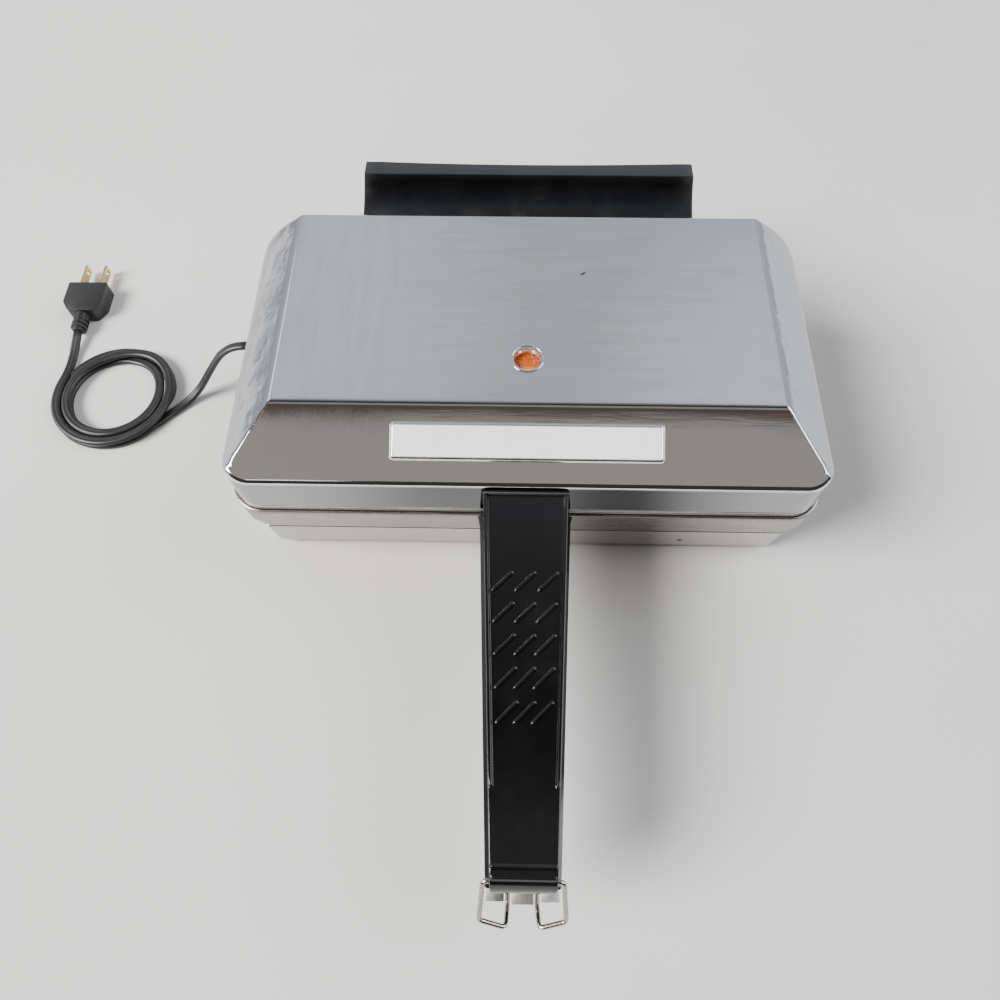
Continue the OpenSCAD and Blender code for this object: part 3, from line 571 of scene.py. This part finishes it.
CORD_W, CORD_T = 5.6, 3.6
CORD_EXIT = (-161, 115, 37)
COIL_AT = (-250, 102)
RING_OUT, RING_IN = 34, 28
LAYERS = (1.8, 5.4)
TURNS, COIL_STEPS = 3.375, 108
SLEEVE_D = 8.8
LEAD = [CORD_EXIT, (-167, 114.9, 36.3), (-173, 114.4, 34.1), (-178.8, 113.2, 29.8),
        (-184.6, 111.4, 22.8), (-190.1, 109.1, 15.7), (-195.4, 106.3, 8.9), (-200.4, 102.9, 4.6),
        (-205, 99, 2.5), (-209.2, 94.8, 1.8), (-214.9, 89.2, 1.8), (-220.5, 83.5, 1.8)]
TAIL = [(-284, 109, 4.8), (-284, 117, 2.9), (-284, 125, 1.9), (-284, 133, 2.2), (-284, 141, 3.8),
        (-284, 149, 5.4)]


def coil_point(turn):
    """The coil's path: outer then inner ring below, up onto the inner ring, then out over the outer one."""
    inward = ease(turn, 0.84, 0.98) - ease(turn, 2.55, 2.75)
    radius = RING_OUT - (RING_OUT - RING_IN) * inward
    height = LAYERS[0] + (LAYERS[1] - LAYERS[0]) * ease(turn, 1.66, 1.84)
    angle = math.radians(-45 - 360 * turn)
    return at(COIL_AT[0] + radius * math.cos(angle), COIL_AT[1] + radius * math.sin(angle), height)


def twin_section():
    """Two cores side by side, with a groove along the middle of each face."""
    n = 24
    shape = []
    for k in range(n):
        x = math.cos(2 * math.pi * (k + 0.5) / n)
        y = math.sin(2 * math.pi * (k + 0.5) / n)
        groove = 1 - 0.3 * math.exp(-(x / 0.22) ** 2)
        shape.append((CORD_W / 2 * x * MM, CORD_T / 2 * y * groove * MM))
    return shape


def make_cord():
    """The flat cord: its lead down to the table, its coil, and its tail to the plug."""
    turns = [coil_point(TURNS * k / COIL_STEPS) for k in range(COIL_STEPS + 1)]
    path = smooth_path([at(*p) for p in LEAD] + turns + [at(*p) for p in TAIL], 2)
    cord = piece("flat_cord", *tube(path, twin_section(), level=True), "cord", "base")
    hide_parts("power_cord", "cord_coil")


def make_strain_relief():
    """Tapered sleeve with bending slots, as rings and necks."""
    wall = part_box("strain_relief")[1].x / MM - 6
    steps = 48
    path = [at(wall, *CORD_EXIT[1:]).lerp(at(*CORD_EXIT), k / steps) for k in range(steps + 1)]

    def section(t):
        neck = 0.78 if 0.2 < t < 0.95 and (t * 12) % 1 > 0.6 else 1.0
        width = SLEEVE_D + (CORD_W + 1 - SLEEVE_D) * t
        height = SLEEVE_D + (CORD_T + 1 - SLEEVE_D) * t
        return oval(width * neck * MM, height * neck * MM, 28)

    sleeve = piece("cord_sleeve", *tube(path, section, level=True), "cord", "base")
    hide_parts("strain_relief")
    modify(sleeve, "SUBSURF", levels=1, render_levels=1)


# ---------- lid ----------

LID_BEND = 83.4
LID_SHEET = 0.9
CORNER_R = 14
TOP_ROUND = 0.9
HIP_ROUND = 0.7
EDGE_ROUND = 3.0
REAR_ROUND = 1.4
LAMP_HOLE, LAMP_HOLE_R = (0, 60.8), 6.5
SKIRT_STEPS = (0, 6, 14)
# Where rings lie across the lid's outer edge, as shares of its round, and from there to the top's outline
EDGE_STEPS = (0.0, 0.03, 0.1, 0.22, 0.4, 0.65, 0.9, 1.2)
TOP_STEPS = (0.2, 0.3, 0.45, 0.6, 0.75, 0.86, 0.92, 0.95, 0.97, 0.985, 1.0, 1.012, 1.025, 1.045, 1.07)


def soft_min(a, b, k):
    """The lower of two heights, blended where they are within k."""
    h = max(k - abs(a - b), 0) / k
    return min(a, b) - h * h * k / 4


def lid_height(x, y):
    """Height of the lid's slopes and top over a point of its plan, without its outer edge."""
    rise = LID_TOP - LID_BEND
    slopes = soft_min(LID_BEND + rise * y / FRONT_SLOPE,
                      LID_BEND + rise * (LID_W / 2 - abs(x)) / SIDE_SLOPE, HIP_ROUND)
    return soft_min(slopes, LID_TOP, TOP_ROUND)


def plan(half_w, y0, y1, r_front, r_rear, per_corner=40, per_side=(14, 8), extra=None):
    """Points of a rounded rectangle with their outward normals, anticlockwise from the front right corner.

    With extra = (x, gap), the front and rear sides also have points at x and gap to each side of it."""
    corners = [(half_w - r_front, y0 + r_front, r_front, -90), (half_w - r_rear, y1 - r_rear, r_rear, 0),
               (-half_w + r_rear, y1 - r_rear, r_rear, 90), (-half_w + r_front, y0 + r_front, r_front, 180)]
    points = []
    for i, (cx, cy, r, start) in enumerate(corners):
        for k in range(per_corner + 1):
            a = math.radians(start + 90 * k / per_corner)
            n = Vector((math.cos(a), math.sin(a)))
            points.append((Vector((cx, cy)) + r * n, n))
        sides = per_side[(i + 1) % 2]
        last, normal = points[-1]
        nx, ny, nr, nstart = corners[(i + 1) % 4]
        a = math.radians(nstart)
        target = Vector((nx, ny)) + nr * Vector((math.cos(a), math.sin(a)))
        shares = [k / sides for k in range(1, sides)]
        if extra and i % 2:
            stops = [s * (extra[0] + d * extra[1]) for s in (-1, 1) for d in (-1, -0.5, 0, 0.5, 1)]
            shares = sorted(shares + [(x - last.x) / (target.x - last.x) for x in stops])
        points += [(last.lerp(target, share), normal) for share in shares]
    return points


def make_lid():
    """Pressed lid in rings from the skirt over the bend and the slopes to the lamp's hole."""
    outer = plan(LID_W / 2, 0, LID_D, CORNER_R, CORNER_R, extra=(LID_W / 2 - SIDE_SLOPE, 1.2))
    rings = [[at(b.x, b.y, SKIRT_LOW + step) for b, _ in outer] for step in SKIRT_STEPS]
    for share in EDGE_STEPS:
        ring = []
        for b, n in outer:
            r = REAR_ROUND if n.y > 0.5 else EDGE_ROUND + (REAR_ROUND - EDGE_ROUND) * max(n.y, 0) * 2
            q = b - n * r
            slope = max((lid_height(q.x, q.y) - lid_height(b.x, b.y)) / r, 0)
            tilt = math.atan(slope)
            d = share * r
            p = b - n * d
            z = lid_height(p.x, p.y)
            if d < min(r, r * (1 - math.sin(tilt)) + 1e-9):
                base = lid_height(b.x, b.y) + r * slope - r / math.cos(tilt)
                z = min(z, base + math.sqrt(max(r * r - (r - d) ** 2, 0)))
            ring.append(at(p.x, p.y, z))
        rings.append(ring)
    for share in TOP_STEPS:
        past = max(share - 1, 0) * 50
        half = LID_W / 2 - SIDE_SLOPE - past
        ring = []
        for b, _ in outer:
            t = Vector((min(max(b.x, -half), half),
                        min(max(b.y, FRONT_SLOPE + past), LID_D - CORNER_R - past)))
            p = b.lerp(t, min(share, 1))
            ring.append(at(p.x, p.y, lid_height(p.x, p.y)))
        rings.append(ring)
    hole = at(*LAMP_HOLE, LID_TOP)
    for r in (16, LAMP_HOLE_R):
        rings.append([hole + unit(p - hole) * r * MM for p in rings[-1]])
    lid = piece("lid_cover", *loft(rings), "chrome_cover", "lid")
    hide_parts("lid_shell")
    modify(lid, "SOLIDIFY", thickness=LID_SHEET * MM, offset=-1)
    modify(lid, "EDGE_SPLIT", split_angle=math.radians(50))
    modify(lid, "WEIGHTED_NORMAL", keep_sharp=True, weight=80)


# ---------- lower cover ----------

RIM_OUT = 1.35
SIDE_RIM = 1.9
BASE_CORNER = 3.5
BASE_SHEET = 0.8
BEAD_R, BEAD_Z = 0.75, 56.15
# Points down the cover as (inset, height, 1 where the strip below it takes the dark painted-shade material):
# the seam, then the wall
SEAM = [(4, 57, 1), (1.0, 57, 0), (0.85, 57.35, 0), (0.6, 57.6, 0), (0.4, 57.6, 0), (0.2, 57.3, 1),
        (0.1, 56.7, 1), (0.07, 56.1, 1)]
WALL = [(-0.62, 55.2, 1), (-0.6, 54.2, 0), (0.2, 50, 0), (1.4, 45, 0), (2.6, 40, 0), (3.9, 34, 0),
        (5.0, 28.6, 0), (5.25, 27.2, 0), (5.8, 26.9, 0), (5.85, 26.3, 0), (5.4, 25.9, 0), (5.5, 24.5, 0),
        (5.7, 22, 0), (6.0, 18, 0), (6.3, 14, 0), (6.6, 10, 0), (6.84, 7, 0), (6.9, 6.4, 0), (7.1, 5.5, 0),
        (7.5, 5.05, 0), (9, 5.0, 0)]


def casing_ring(inset, z, crisp=True):
    """The lower cover's outline at a height. Its corners fade from the rim's round to nearly square."""
    side = inset * SIDE_RIM if inset < 0 else inset
    r = CORNER_R - side
    if crisp:
        r = max(BASE_CORNER, CORNER_R + 1 - 3.414 * (side + 1))
    return [at(p.x, p.y, z) for p, _ in plan(LID_W / 2 - side, inset, LID_D - side, r, r, 24, (40, 20))]


def make_lower_cover():
    """Pressed cover with two beads round its top; a dark material lies in the seam, the groove and under the
    rim as painted shade.
    """
    bead = []
    for k in range(11):
        a = math.radians(150 - 24 * k)
        bead.append((-RIM_OUT + BEAD_R - BEAD_R * math.cos(a), BEAD_Z + BEAD_R * math.sin(a), int(k > 7)))
    rings = [casing_ring(inset, z, False) for inset, z, _ in SEAM + bead]
    rings += [casing_ring(inset, z) for inset, z, _ in WALL]
    cover = piece("lower_cover", *loft(rings), "chrome_cover", "base")
    cover.data.materials[0] = MATERIALS["casing"]
    # Painted shade: strips flagged 1 take the near-black material
    cover.data.materials.append(MATERIALS["painted_shade"])
    for face in cover.data.polygons:
        face.material_index = (SEAM + bead + WALL)[face.index // len(rings[0])][2]
    modify(cover, "SOLIDIFY", thickness=BASE_SHEET * MM, offset=-1)
    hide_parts("lower_shell")
    modify(cover, "EDGE_SPLIT", split_angle=math.radians(50))


# ---------- upper handle ----------

HANDLE_LOW, HANDLE_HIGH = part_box("upper_handle")
ROOT_Y = HANDLE_HIGH.y / MM - FRONT
REACH = FRONT - HANDLE_LOW.y / MM
HANDLE_BOTTOM = HANDLE_LOW.z / MM
ROOT_TOP, BREAK_Y, BREAK_TOP, TIP_TOP = 79, -148, 73, 72.4
ROOT_HALF, TIP_HALF = 19.75, 13
PANEL_DEPTH, TIP_DEPTH = 1.2, 0.95
RIM_W, RIM_EDGE = 1.1, 0.55
NOSE = 127
RIDGES, RIDGE_HALF, RIDGE_H = (156.4, 160.4), 1.2, 0.65
POCKET, POCKET_DEPTH = (-34, -146), 7
TIP_R = 9.0


def handle_half(y):
    """Half width of the upper handle, with small rounds at its tip and root."""
    half = ROOT_HALF + (TIP_HALF - ROOT_HALF) * -y / REACH
    return half - rounding(1.0, REACH + y) - rounding(0.4, ROOT_Y - y)


def handle_line(y):
    """Height of the upper handle's top in the side view."""
    if y > BREAK_Y:
        z = ROOT_TOP + (BREAK_TOP - ROOT_TOP) * (ROOT_Y - y) / (ROOT_Y - BREAK_Y)
    else:
        z = BREAK_TOP + (TIP_TOP - BREAK_TOP) * (BREAK_Y - y) / (REACH + BREAK_Y)
    return z - rounding(TIP_R, REACH + y) - rounding(0.5, ROOT_Y - y)


def handle_top(y, e):
    """Height of the top at distance e in from the side: rims with round noses, panel, tip and ridges."""
    s = ROOT_Y - y
    floor = -PANEL_DEPTH + (PANEL_DEPTH - TIP_DEPTH) * ease(s, 118, 146)
    t = e - RIM_W
    if t < 0:
        t *= ease(s, NOSE - 5, NOSE + 1.2)
    d = math.hypot(t, max(s - NOSE, 0))
    height = floor * ease(d, 0.25, 1.15)
    for ridge in RIDGES:
        if abs(s - ridge) < RIDGE_HALF:
            crest = (1 + math.cos(math.pi * (s - ridge) / RIDGE_HALF)) / 2
            height += RIDGE_H * crest * ease(e, 0.3, 1.0)
    return handle_line(y) + height - rounding(RIM_EDGE, e)


def handle_bottom(y):
    """Height of the upper handle's underside."""
    return HANDLE_BOTTOM + rounding(3.0, REACH + y)


def spaced(*runs):
    """Values from run to run, each given as (start, end, steps)."""
    return [a + (b - a) * k / n for a, b, n in runs for k in range(n)] + [runs[-1][1]]


def make_upper_handle():
    """Tapering handle in rings from root to tip, with a pocket in its underside."""
    stations = spaced((0, 0.6, 6), (0.6, 30, 10), (30, 118, 44), (118, 134, 54), (134, 154, 8),
                      (154, 156.4, 12))
    tip = [math.radians(a) for a in range(0, 91, 3)]
    ys = [ROOT_Y - s for s in stations] + [TIP_R - REACH - TIP_R * math.sin(a) for a in tip]
    ys = sorted({round(y, 4) for y in ys + [p + d for p in POCKET for d in (0, 0.3)]}, reverse=True)
    margin = 3.4
    edge_steps = spaced((0, 0.6, 6), (0.6, 2.6, 14), (2.6, margin, 2))
    rings = []
    for y in ys:
        w = handle_half(y)
        across = edge_steps + [margin + (w - margin) * k / 9 for k in range(1, 10)]
        top = [(e - w, handle_top(y, e)) for e in across]
        top += [(-x, z) for x, z in reversed(top[:-1])]
        low = handle_bottom(y)
        roof = low + (POCKET_DEPTH if POCKET[1] - 0.01 <= y <= POCKET[0] + 0.01 else 0)
        under = [(w, low + 0.7), (w - 0.2, low + 0.2), (w - 0.7, low), (w - 5, low), (w - 5.2, roof),
                 (0, roof)]
        under += [(-x, z) for x, z in reversed(under[:-1])]
        rings.append([at(x, y, z) for x, z in top + under])
    handle = piece("long_handle", *loft(rings, True, True), "handle", "lid")
    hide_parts("upper_handle")
    modify(handle, "EDGE_SPLIT", split_angle=math.radians(48))
    make_ribs()


RIB_L, RIB_W, RIB_H, RIB_SUNK = 13.4, 2.3, 1.15, 0.15
RIB_FIRST, RIB_ROW, RIB_COLUMN = 42.2, 14.15, 10.1


def make_ribs():
    """Five rows of three slanting bars on the panel, closer together towards the tip."""
    slant = Vector((1, 1, -(BREAK_TOP - ROOT_TOP) / (ROOT_Y - BREAK_Y)))
    points, faces = [], []
    for row in range(5):
        for column in (-1, 0, 1):
            y = ROOT_Y - (RIB_FIRST + RIB_ROW * row)
            centre = at(column * RIB_COLUMN * (1 - 0.067 * row), y, 0)
            centre.z = (handle_line(y) - PANEL_DEPTH - RIB_SUNK) * MM
            along = unit(slant)
            side = unit(Vector((0, 0, 1)).cross(along))
            rings = []
            for k in range(25):
                u = math.cos(math.pi * k / 24)
                x = -u * RIB_L / 2
                inside = max(abs(x) - (RIB_L - RIB_W) / 2, 0) / (RIB_W / 2)
                size = math.sqrt(max(1 - inside ** 2, 0.0004))
                rings.append([])
                for j in range(13):
                    a = math.pi * j / 12
                    up = Vector((0, 0, (RIB_H + RIB_SUNK) * size ** 0.7 * math.sin(a)))
                    rings[-1].append(centre + (x * along + RIB_W / 2 * size * math.cos(a) * side + up) * MM)
            made, quads = loft(rings, closed=False)
            faces += [tuple(i + len(points) for i in quad) for quad in quads]
            points += made
    piece("handle_ribs", points, faces, "handle", "lid")


# ---------- latch ----------

PIVOT_Y, PIVOT_Z = -162, 66
WIRE_D = 2.0
HALF_BAIL = [(9.0, PIVOT_Y, PIVOT_Z), (15.7, PIVOT_Y, PIVOT_Z), (17.3, PIVOT_Y - 13.6, 50),
             (6.65, PIVOT_Y - 16.2, 47), (6.0, PIVOT_Y - 8, 42.5), (6.0, PIVOT_Y + 3.5, 42.5)]


def make_bail():
    """One bent wire from pivot to pivot, with a finger loop on each side."""
    points = [at(*p) for p in HALF_BAIL] + [at(-x, y, z) for x, y, z in reversed(HALF_BAIL)]
    section = oval(WIRE_D * MM, WIRE_D * MM, 16)
    bail = piece("wire_bail", *tube(bent(points, 2 * MM, 8), section), "wire", "latch")
    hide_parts("latch_bail")


# ---------- lamp and nameplate ----------

LENS_R, LENS_RINGS, LENS_SPOKES = 5.95, 44, 120
LENS_PITCH, LENS_FACET = 0.95, 0.35
DOME_R, DOME_DROP = 16, 16.3
# The lamp ring's section, as (radius, height over the lid's top)
RING_PROFILE = [(5.98, -6), (5.98, -3.5), (6.05, -3.25), (6.7, -1.9), (7.25, -0.6), (7.42, 0.1),
                (7.5, 0.4), (7.62, 0.5), (7.74, 0.35), (7.8, 0)]


def make_lens():
    """Domed lens cut in small pyramids."""
    centre = LENS_MIDDLE
    rings = [[] for _ in range(LENS_RINGS + 2)]
    for k in range(LENS_SPOKES):
        a = 2 * math.pi * k / LENS_SPOKES
        x, y = math.cos(a), math.sin(a)
        rings[0].append(Vector((centre.x + LENS_R * MM * x, centre.y + LENS_R * MM * y, LENS_LOW.z)))
        for i in range(LENS_RINGS + 1):
            r = LENS_R * (1 - i / LENS_RINGS) + 0.001
            u, v = (x + y) * r / math.sqrt(2), (x - y) * r / math.sqrt(2)
            facet = abs((u / LENS_PITCH) % 1 - 0.5) + abs((v / LENS_PITCH) % 1 - 0.5)
            dome = math.sqrt(DOME_R ** 2 - r * r) - DOME_DROP
            rings[i + 1].append(Vector((centre.x + r * MM * x, centre.y + r * MM * y,
                                        LENS_HIGH.z + (dome - LENS_FACET * facet) * MM)))
    lens = piece("lens", *loft(rings, True, True), "amber", "lid", smooth=False)
    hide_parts("lamp_lens")


def make_lamp_ring():
    """Dished chrome ring that leads down to the lens."""
    spokes = [2 * math.pi * k / 72 for k in range(72)]
    x, y = LENS_MIDDLE.x, LENS_MIDDLE.y
    rings = [[Vector((x + r * MM * math.cos(a), y + r * MM * math.sin(a), (LID_TOP + z) * MM))
              for a in spokes] for r, z in RING_PROFILE]
    ring = piece("lamp_ring", *loft(rings), "bright_trim", "lid")
    modify(ring, "SUBSURF", levels=1, render_levels=1)
    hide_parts("lamp_bezel")


PLATE_MORE, PLATE_HALF_W, PLATE_UP = 0.4, 9.1, 1.2
# Sections of the plate as (distance in from its edge, corner radius, height)
PLATE_FACE = [(1.75, 0.7, 0.5), (1.75, 0.7, 1.12), (1.9, 0.6, 1.2)]
PLATE_BORDER = [(0, 1.8, 0.0), (0, 1.8, 0.15), (0.12, 1.7, 0.35), (1.2, 1.1, 1.2), (1.35, 1.0, 1.25),
                (1.5, 0.9, 1.2), (1.6, 0.8, 0.6)]


def rounded_plate(half_l, half_w, r, z):
    """Rounded rectangle in a plane, as (x, y, z) triples in millimetres."""
    n = 6
    ring = []
    for i, (sx, sy) in enumerate(((1, -1), (1, 1), (-1, 1), (-1, -1))):
        for k in range(n + 1):
            a = math.radians(-90 + 90 * i + 90 * k / n)
            ring.append((sx * (half_l - r) + r * math.cos(a), sy * (half_w - r) + r * math.sin(a), z))
    return ring


def make_nameplate():
    """Bare enamelled plate in a raised bright border, lying on the front slope."""
    tilt = math.atan2(LID_TOP - LID_BEND, FRONT_SLOPE)
    middle = at(0, FRONT_SLOPE / 2 + PLATE_UP, (LID_TOP + LID_BEND) / 2 + PLATE_UP * math.tan(tilt))
    turn = Matrix.Translation(middle) @ Matrix.Rotation(tilt, 4, "X")
    low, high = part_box("nameplate")
    half = (high.x - low.x) / MM / 2 + PLATE_MORE

    def rings(sections):
        return [[turn @ (Vector(p) * MM) for p in rounded_plate(half - inset, PLATE_HALF_W - inset, r, z)]
                for inset, r, z in sections]

    face = piece("plate_face", *loft(rings(PLATE_FACE), end=True), "nameplate", "lid")
    modify(face, "WEIGHTED_NORMAL")
    piece("plate_border", *loft(rings(PLATE_BORDER)), "bright_trim", "lid")
    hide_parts("nameplate")


# ---------- rear rest ----------

REST_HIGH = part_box("rear_rest")[1]
REST_REACH = REST_HIGH.y / MM - FRONT
REST_TOP = REST_HIGH.z / MM
REST_HALF = REST_HIGH.x / MM
REST_SAG = 2.0
FLARE = 0.15
TROUGH_OUT, TROUGH_IN = 27.5, 23
REST_STEPS = 48


def arc_points(y, z, r, start, end, steps):
    """Points along an arc in the side view, between two angles in degrees."""
    angles = [math.radians(start + (end - start) * k / steps) for k in range(steps + 1)]
    return [(y + r * math.cos(a), z + r * math.sin(a)) for a in angles]


def make_rest():
    """Curved trough along the rear, wider at its foot, with a slanting lip that sags along its length."""
    centre = (LID_D + 4, 96)
    lip = [(REST_REACH - 5, 97), (REST_REACH - 0.4, 98.1), (REST_REACH, 98.4), (REST_REACH, 100.2),
           (REST_REACH - 0.35, 100.55), (REST_REACH - 10.6, REST_TOP - 0.05),
           (REST_REACH - 11.1, REST_TOP - 0.15), (REST_REACH - 11.4, REST_TOP - 0.6)]
    profile = [(LID_D, 66), (LID_D + 4.5, 66), *arc_points(*centre, TROUGH_OUT, -75, 0, 16), *lip,
               *arc_points(*centre, TROUGH_IN, 0, -90, 20), (LID_D + 4, 91), (LID_D, 91)]
    rings = []
    for k in range(REST_STEPS + 1):
        share = 2 * k / REST_STEPS - 1
        bow = REST_REACH - REST_SAG * (1 - share ** 2)
        rings.append([at(share * (REST_HALF + FLARE * (REST_TOP - z)),
                         min(y, bow + 0.04 * (y - REST_REACH)), z) for y, z in profile])
    rest = piece("rest_trough", *loft(rings, True, True), "rest", "lid")
    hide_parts("rear_rest")
    modify(rest, "EDGE_SPLIT", split_angle=math.radians(40))
    modify(rest, "WEIGHTED_NORMAL", keep_sharp=True)


# ---------- CAD nodes that keep their shape ----------

SOFT_EDGE = 0.15
SOFT_EDGES = {"lower_handle": 0.7, "plug_body": 0.5, "thermostat": 0.2, "terminal_block": 0.4,
              "rubber_feet": 0.3}


def dress_nodes():
    """Each CAD node in its slot's finish, with small rounds where it shows."""
    slots = {s["node"]: s["material_slot"] for s in frame["record"]["subparts"]}
    for name, obj in frame["nodes"].items():
        obj.data.materials.clear()
        obj.data.materials.append(MATERIALS[slots[name]])
        if not obj.hide_render:
            soften(obj, SOFT_EDGES.get(name, SOFT_EDGE))


# ---------- floor and light ----------

TABLE_HALF = 6.0


def make_stage():
    """Plain pale tabletop, with painted shade making it a little dimmer to the right."""
    cloth = Shader("table", (0.60, 0.595, 0.58), 0.0, 0.85)
    tone = cloth.noise(3.5, 3)
    pale = cloth.ramp(tone, [(0.3, (0.66, 0.645, 0.625)), (0.7, (0.70, 0.69, 0.67))])
    dim = cloth.ramp(tone, [(0.3, (0.52, 0.515, 0.505)), (0.7, (0.57, 0.565, 0.555))])
    # Painted shade: pale on the left, dim to the right
    cloth.color(cloth.mix(cloth.fade(cloth.axis("X"), -0.35, 0.30), pale, dim))
    cloth.bump((cloth.noise(5, 2, 0.4), 2.0), (cloth.noise(900, 2, 0.5), 0.03))
    corners = [(x * TABLE_HALF, y * TABLE_HALF, 0) for x, y in ((-1, -1), (1, -1), (1, 1), (-1, 1))]
    mesh = bpy.data.meshes.new("table")
    mesh.from_pydata(corners, [], [(0, 1, 2, 3)])
    mesh.materials.append(cloth.material)
    table = bpy.data.objects.new("table", mesh)
    bpy.context.collection.objects.link(table)
    make_room()


WHITE, BLACK = (1, 1, 1), (0, 0, 0)
WARM, BROWN, COOL = (0.335, 0.32, 0.29), (0.092, 0.068, 0.062), (0.50, 0.54, 0.59)
GREY, DARK = (0.26, 0.25, 0.24), (0.02, 0.02, 0.025)
WALLS, FRONT_WALL = (0.58, 0.61, 0.66), (0.045, 0.04, 0.04)
# The ceiling's bands from front to back, and soft patches as (direction, inner and outer degrees, colour)
CEILING = [(0.0, FRONT_WALL), (0.35, FRONT_WALL), (0.375, WARM), (0.4345, WARM), (0.4362, BROWN),
           (0.461, BROWN), (0.475, GREY), (0.509, GREY), (0.517, DARK), (0.535, DARK), (0.58, GREY),
           (0.63, COOL)]
PATCHES = [((-0.32, 0.80, 0.92), 3, 16, (0.66, 0.69, 0.74)), ((0.38, 0.62, 0.90), 2, 15, (0.68, 0.72, 0.78)),
           ((-0.28, -0.51, 0.81), 3, 5, (1.6, 1.6, 1.65)), ((-0.93, 0.02, 0.30), 9, 13, (1.7, 1.75, 1.85)),
           ((0.93, 0.02, 0.30), 8, 12, (1.7, 1.75, 1.85)), ((-0.62, 0.55, 0.56), 6, 12, (1.4, 1.42, 1.5))]


def make_room():
    """World light: pale walls but a dark one in front, a ceiling in bands, and soft patches."""
    world = bpy.data.worlds.new("room")
    world.use_nodes = True
    bpy.context.scene.world = world
    sky = Nodes(world.node_tree)
    direction = sky.add("ShaderNodeTexCoord").outputs["Generated"]
    split = sky.add("ShaderNodeSeparateXYZ")
    sky.link(direction, split.inputs["Vector"])
    y, z = split.outputs["Y"], split.outputs["Z"]
    lean = sky.math("MULTIPLY_ADD", sky.math("DIVIDE", y, sky.math("MAXIMUM", z, 0.02)), 0.25, 0.5)
    facing = sky.ramp(sky.math("MULTIPLY_ADD", y, 0.5, 0.5), [(0.0, WHITE), (0.22, WHITE), (0.36, BLACK)])
    low = sky.ramp(z, [(0.0, WHITE), (0.25, WHITE), (0.5, BLACK)])
    room = sky.mix(low, sky.ramp(lean, CEILING), sky.mix(facing, WALLS, FRONT_WALL))
    for towards, inner, outer, color in PATCHES:
        dot = sky.add("ShaderNodeVectorMath", operation="DOT_PRODUCT")
        sky.link(direction, dot.inputs[0])
        dot.inputs[1].default_value = unit(Vector(towards))
        near = sky.fade(dot.outputs["Value"], math.cos(math.radians(outer)), math.cos(math.radians(inner)))
        room = sky.mix(near, room, color)
    sky.link(room, world.node_tree.nodes["Background"].inputs["Color"])


def sun(name, towards, level, spread, color=WHITE):
    """A broad distant lamp in a direction, giving a level surface this share of full light."""
    towards = unit(Vector(towards))
    light = bpy.data.lights.new(name, "SUN")
    light.energy = math.pi * level / towards.z
    light.angle = math.radians(spread)
    light.color = color
    lamp = bpy.data.objects.new(name, light)
    lamp.rotation_euler = towards.to_track_quat("Z", "Y").to_euler()
    bpy.context.collection.objects.link(lamp)


make_camera()
make_strain_relief()
make_cord()
make_lid()
make_lower_cover()
make_upper_handle()
make_bail()
make_lens()
make_lamp_ring()
make_nameplate()
make_rest()
dress_nodes()
make_stage()
sun("lamp_left", (-0.72, -0.22, 0.66), 1.7, 30, (1, 0.985, 0.965))
sun("lamp_right", (0.72, 0.10, 0.68), 0.40, 40)
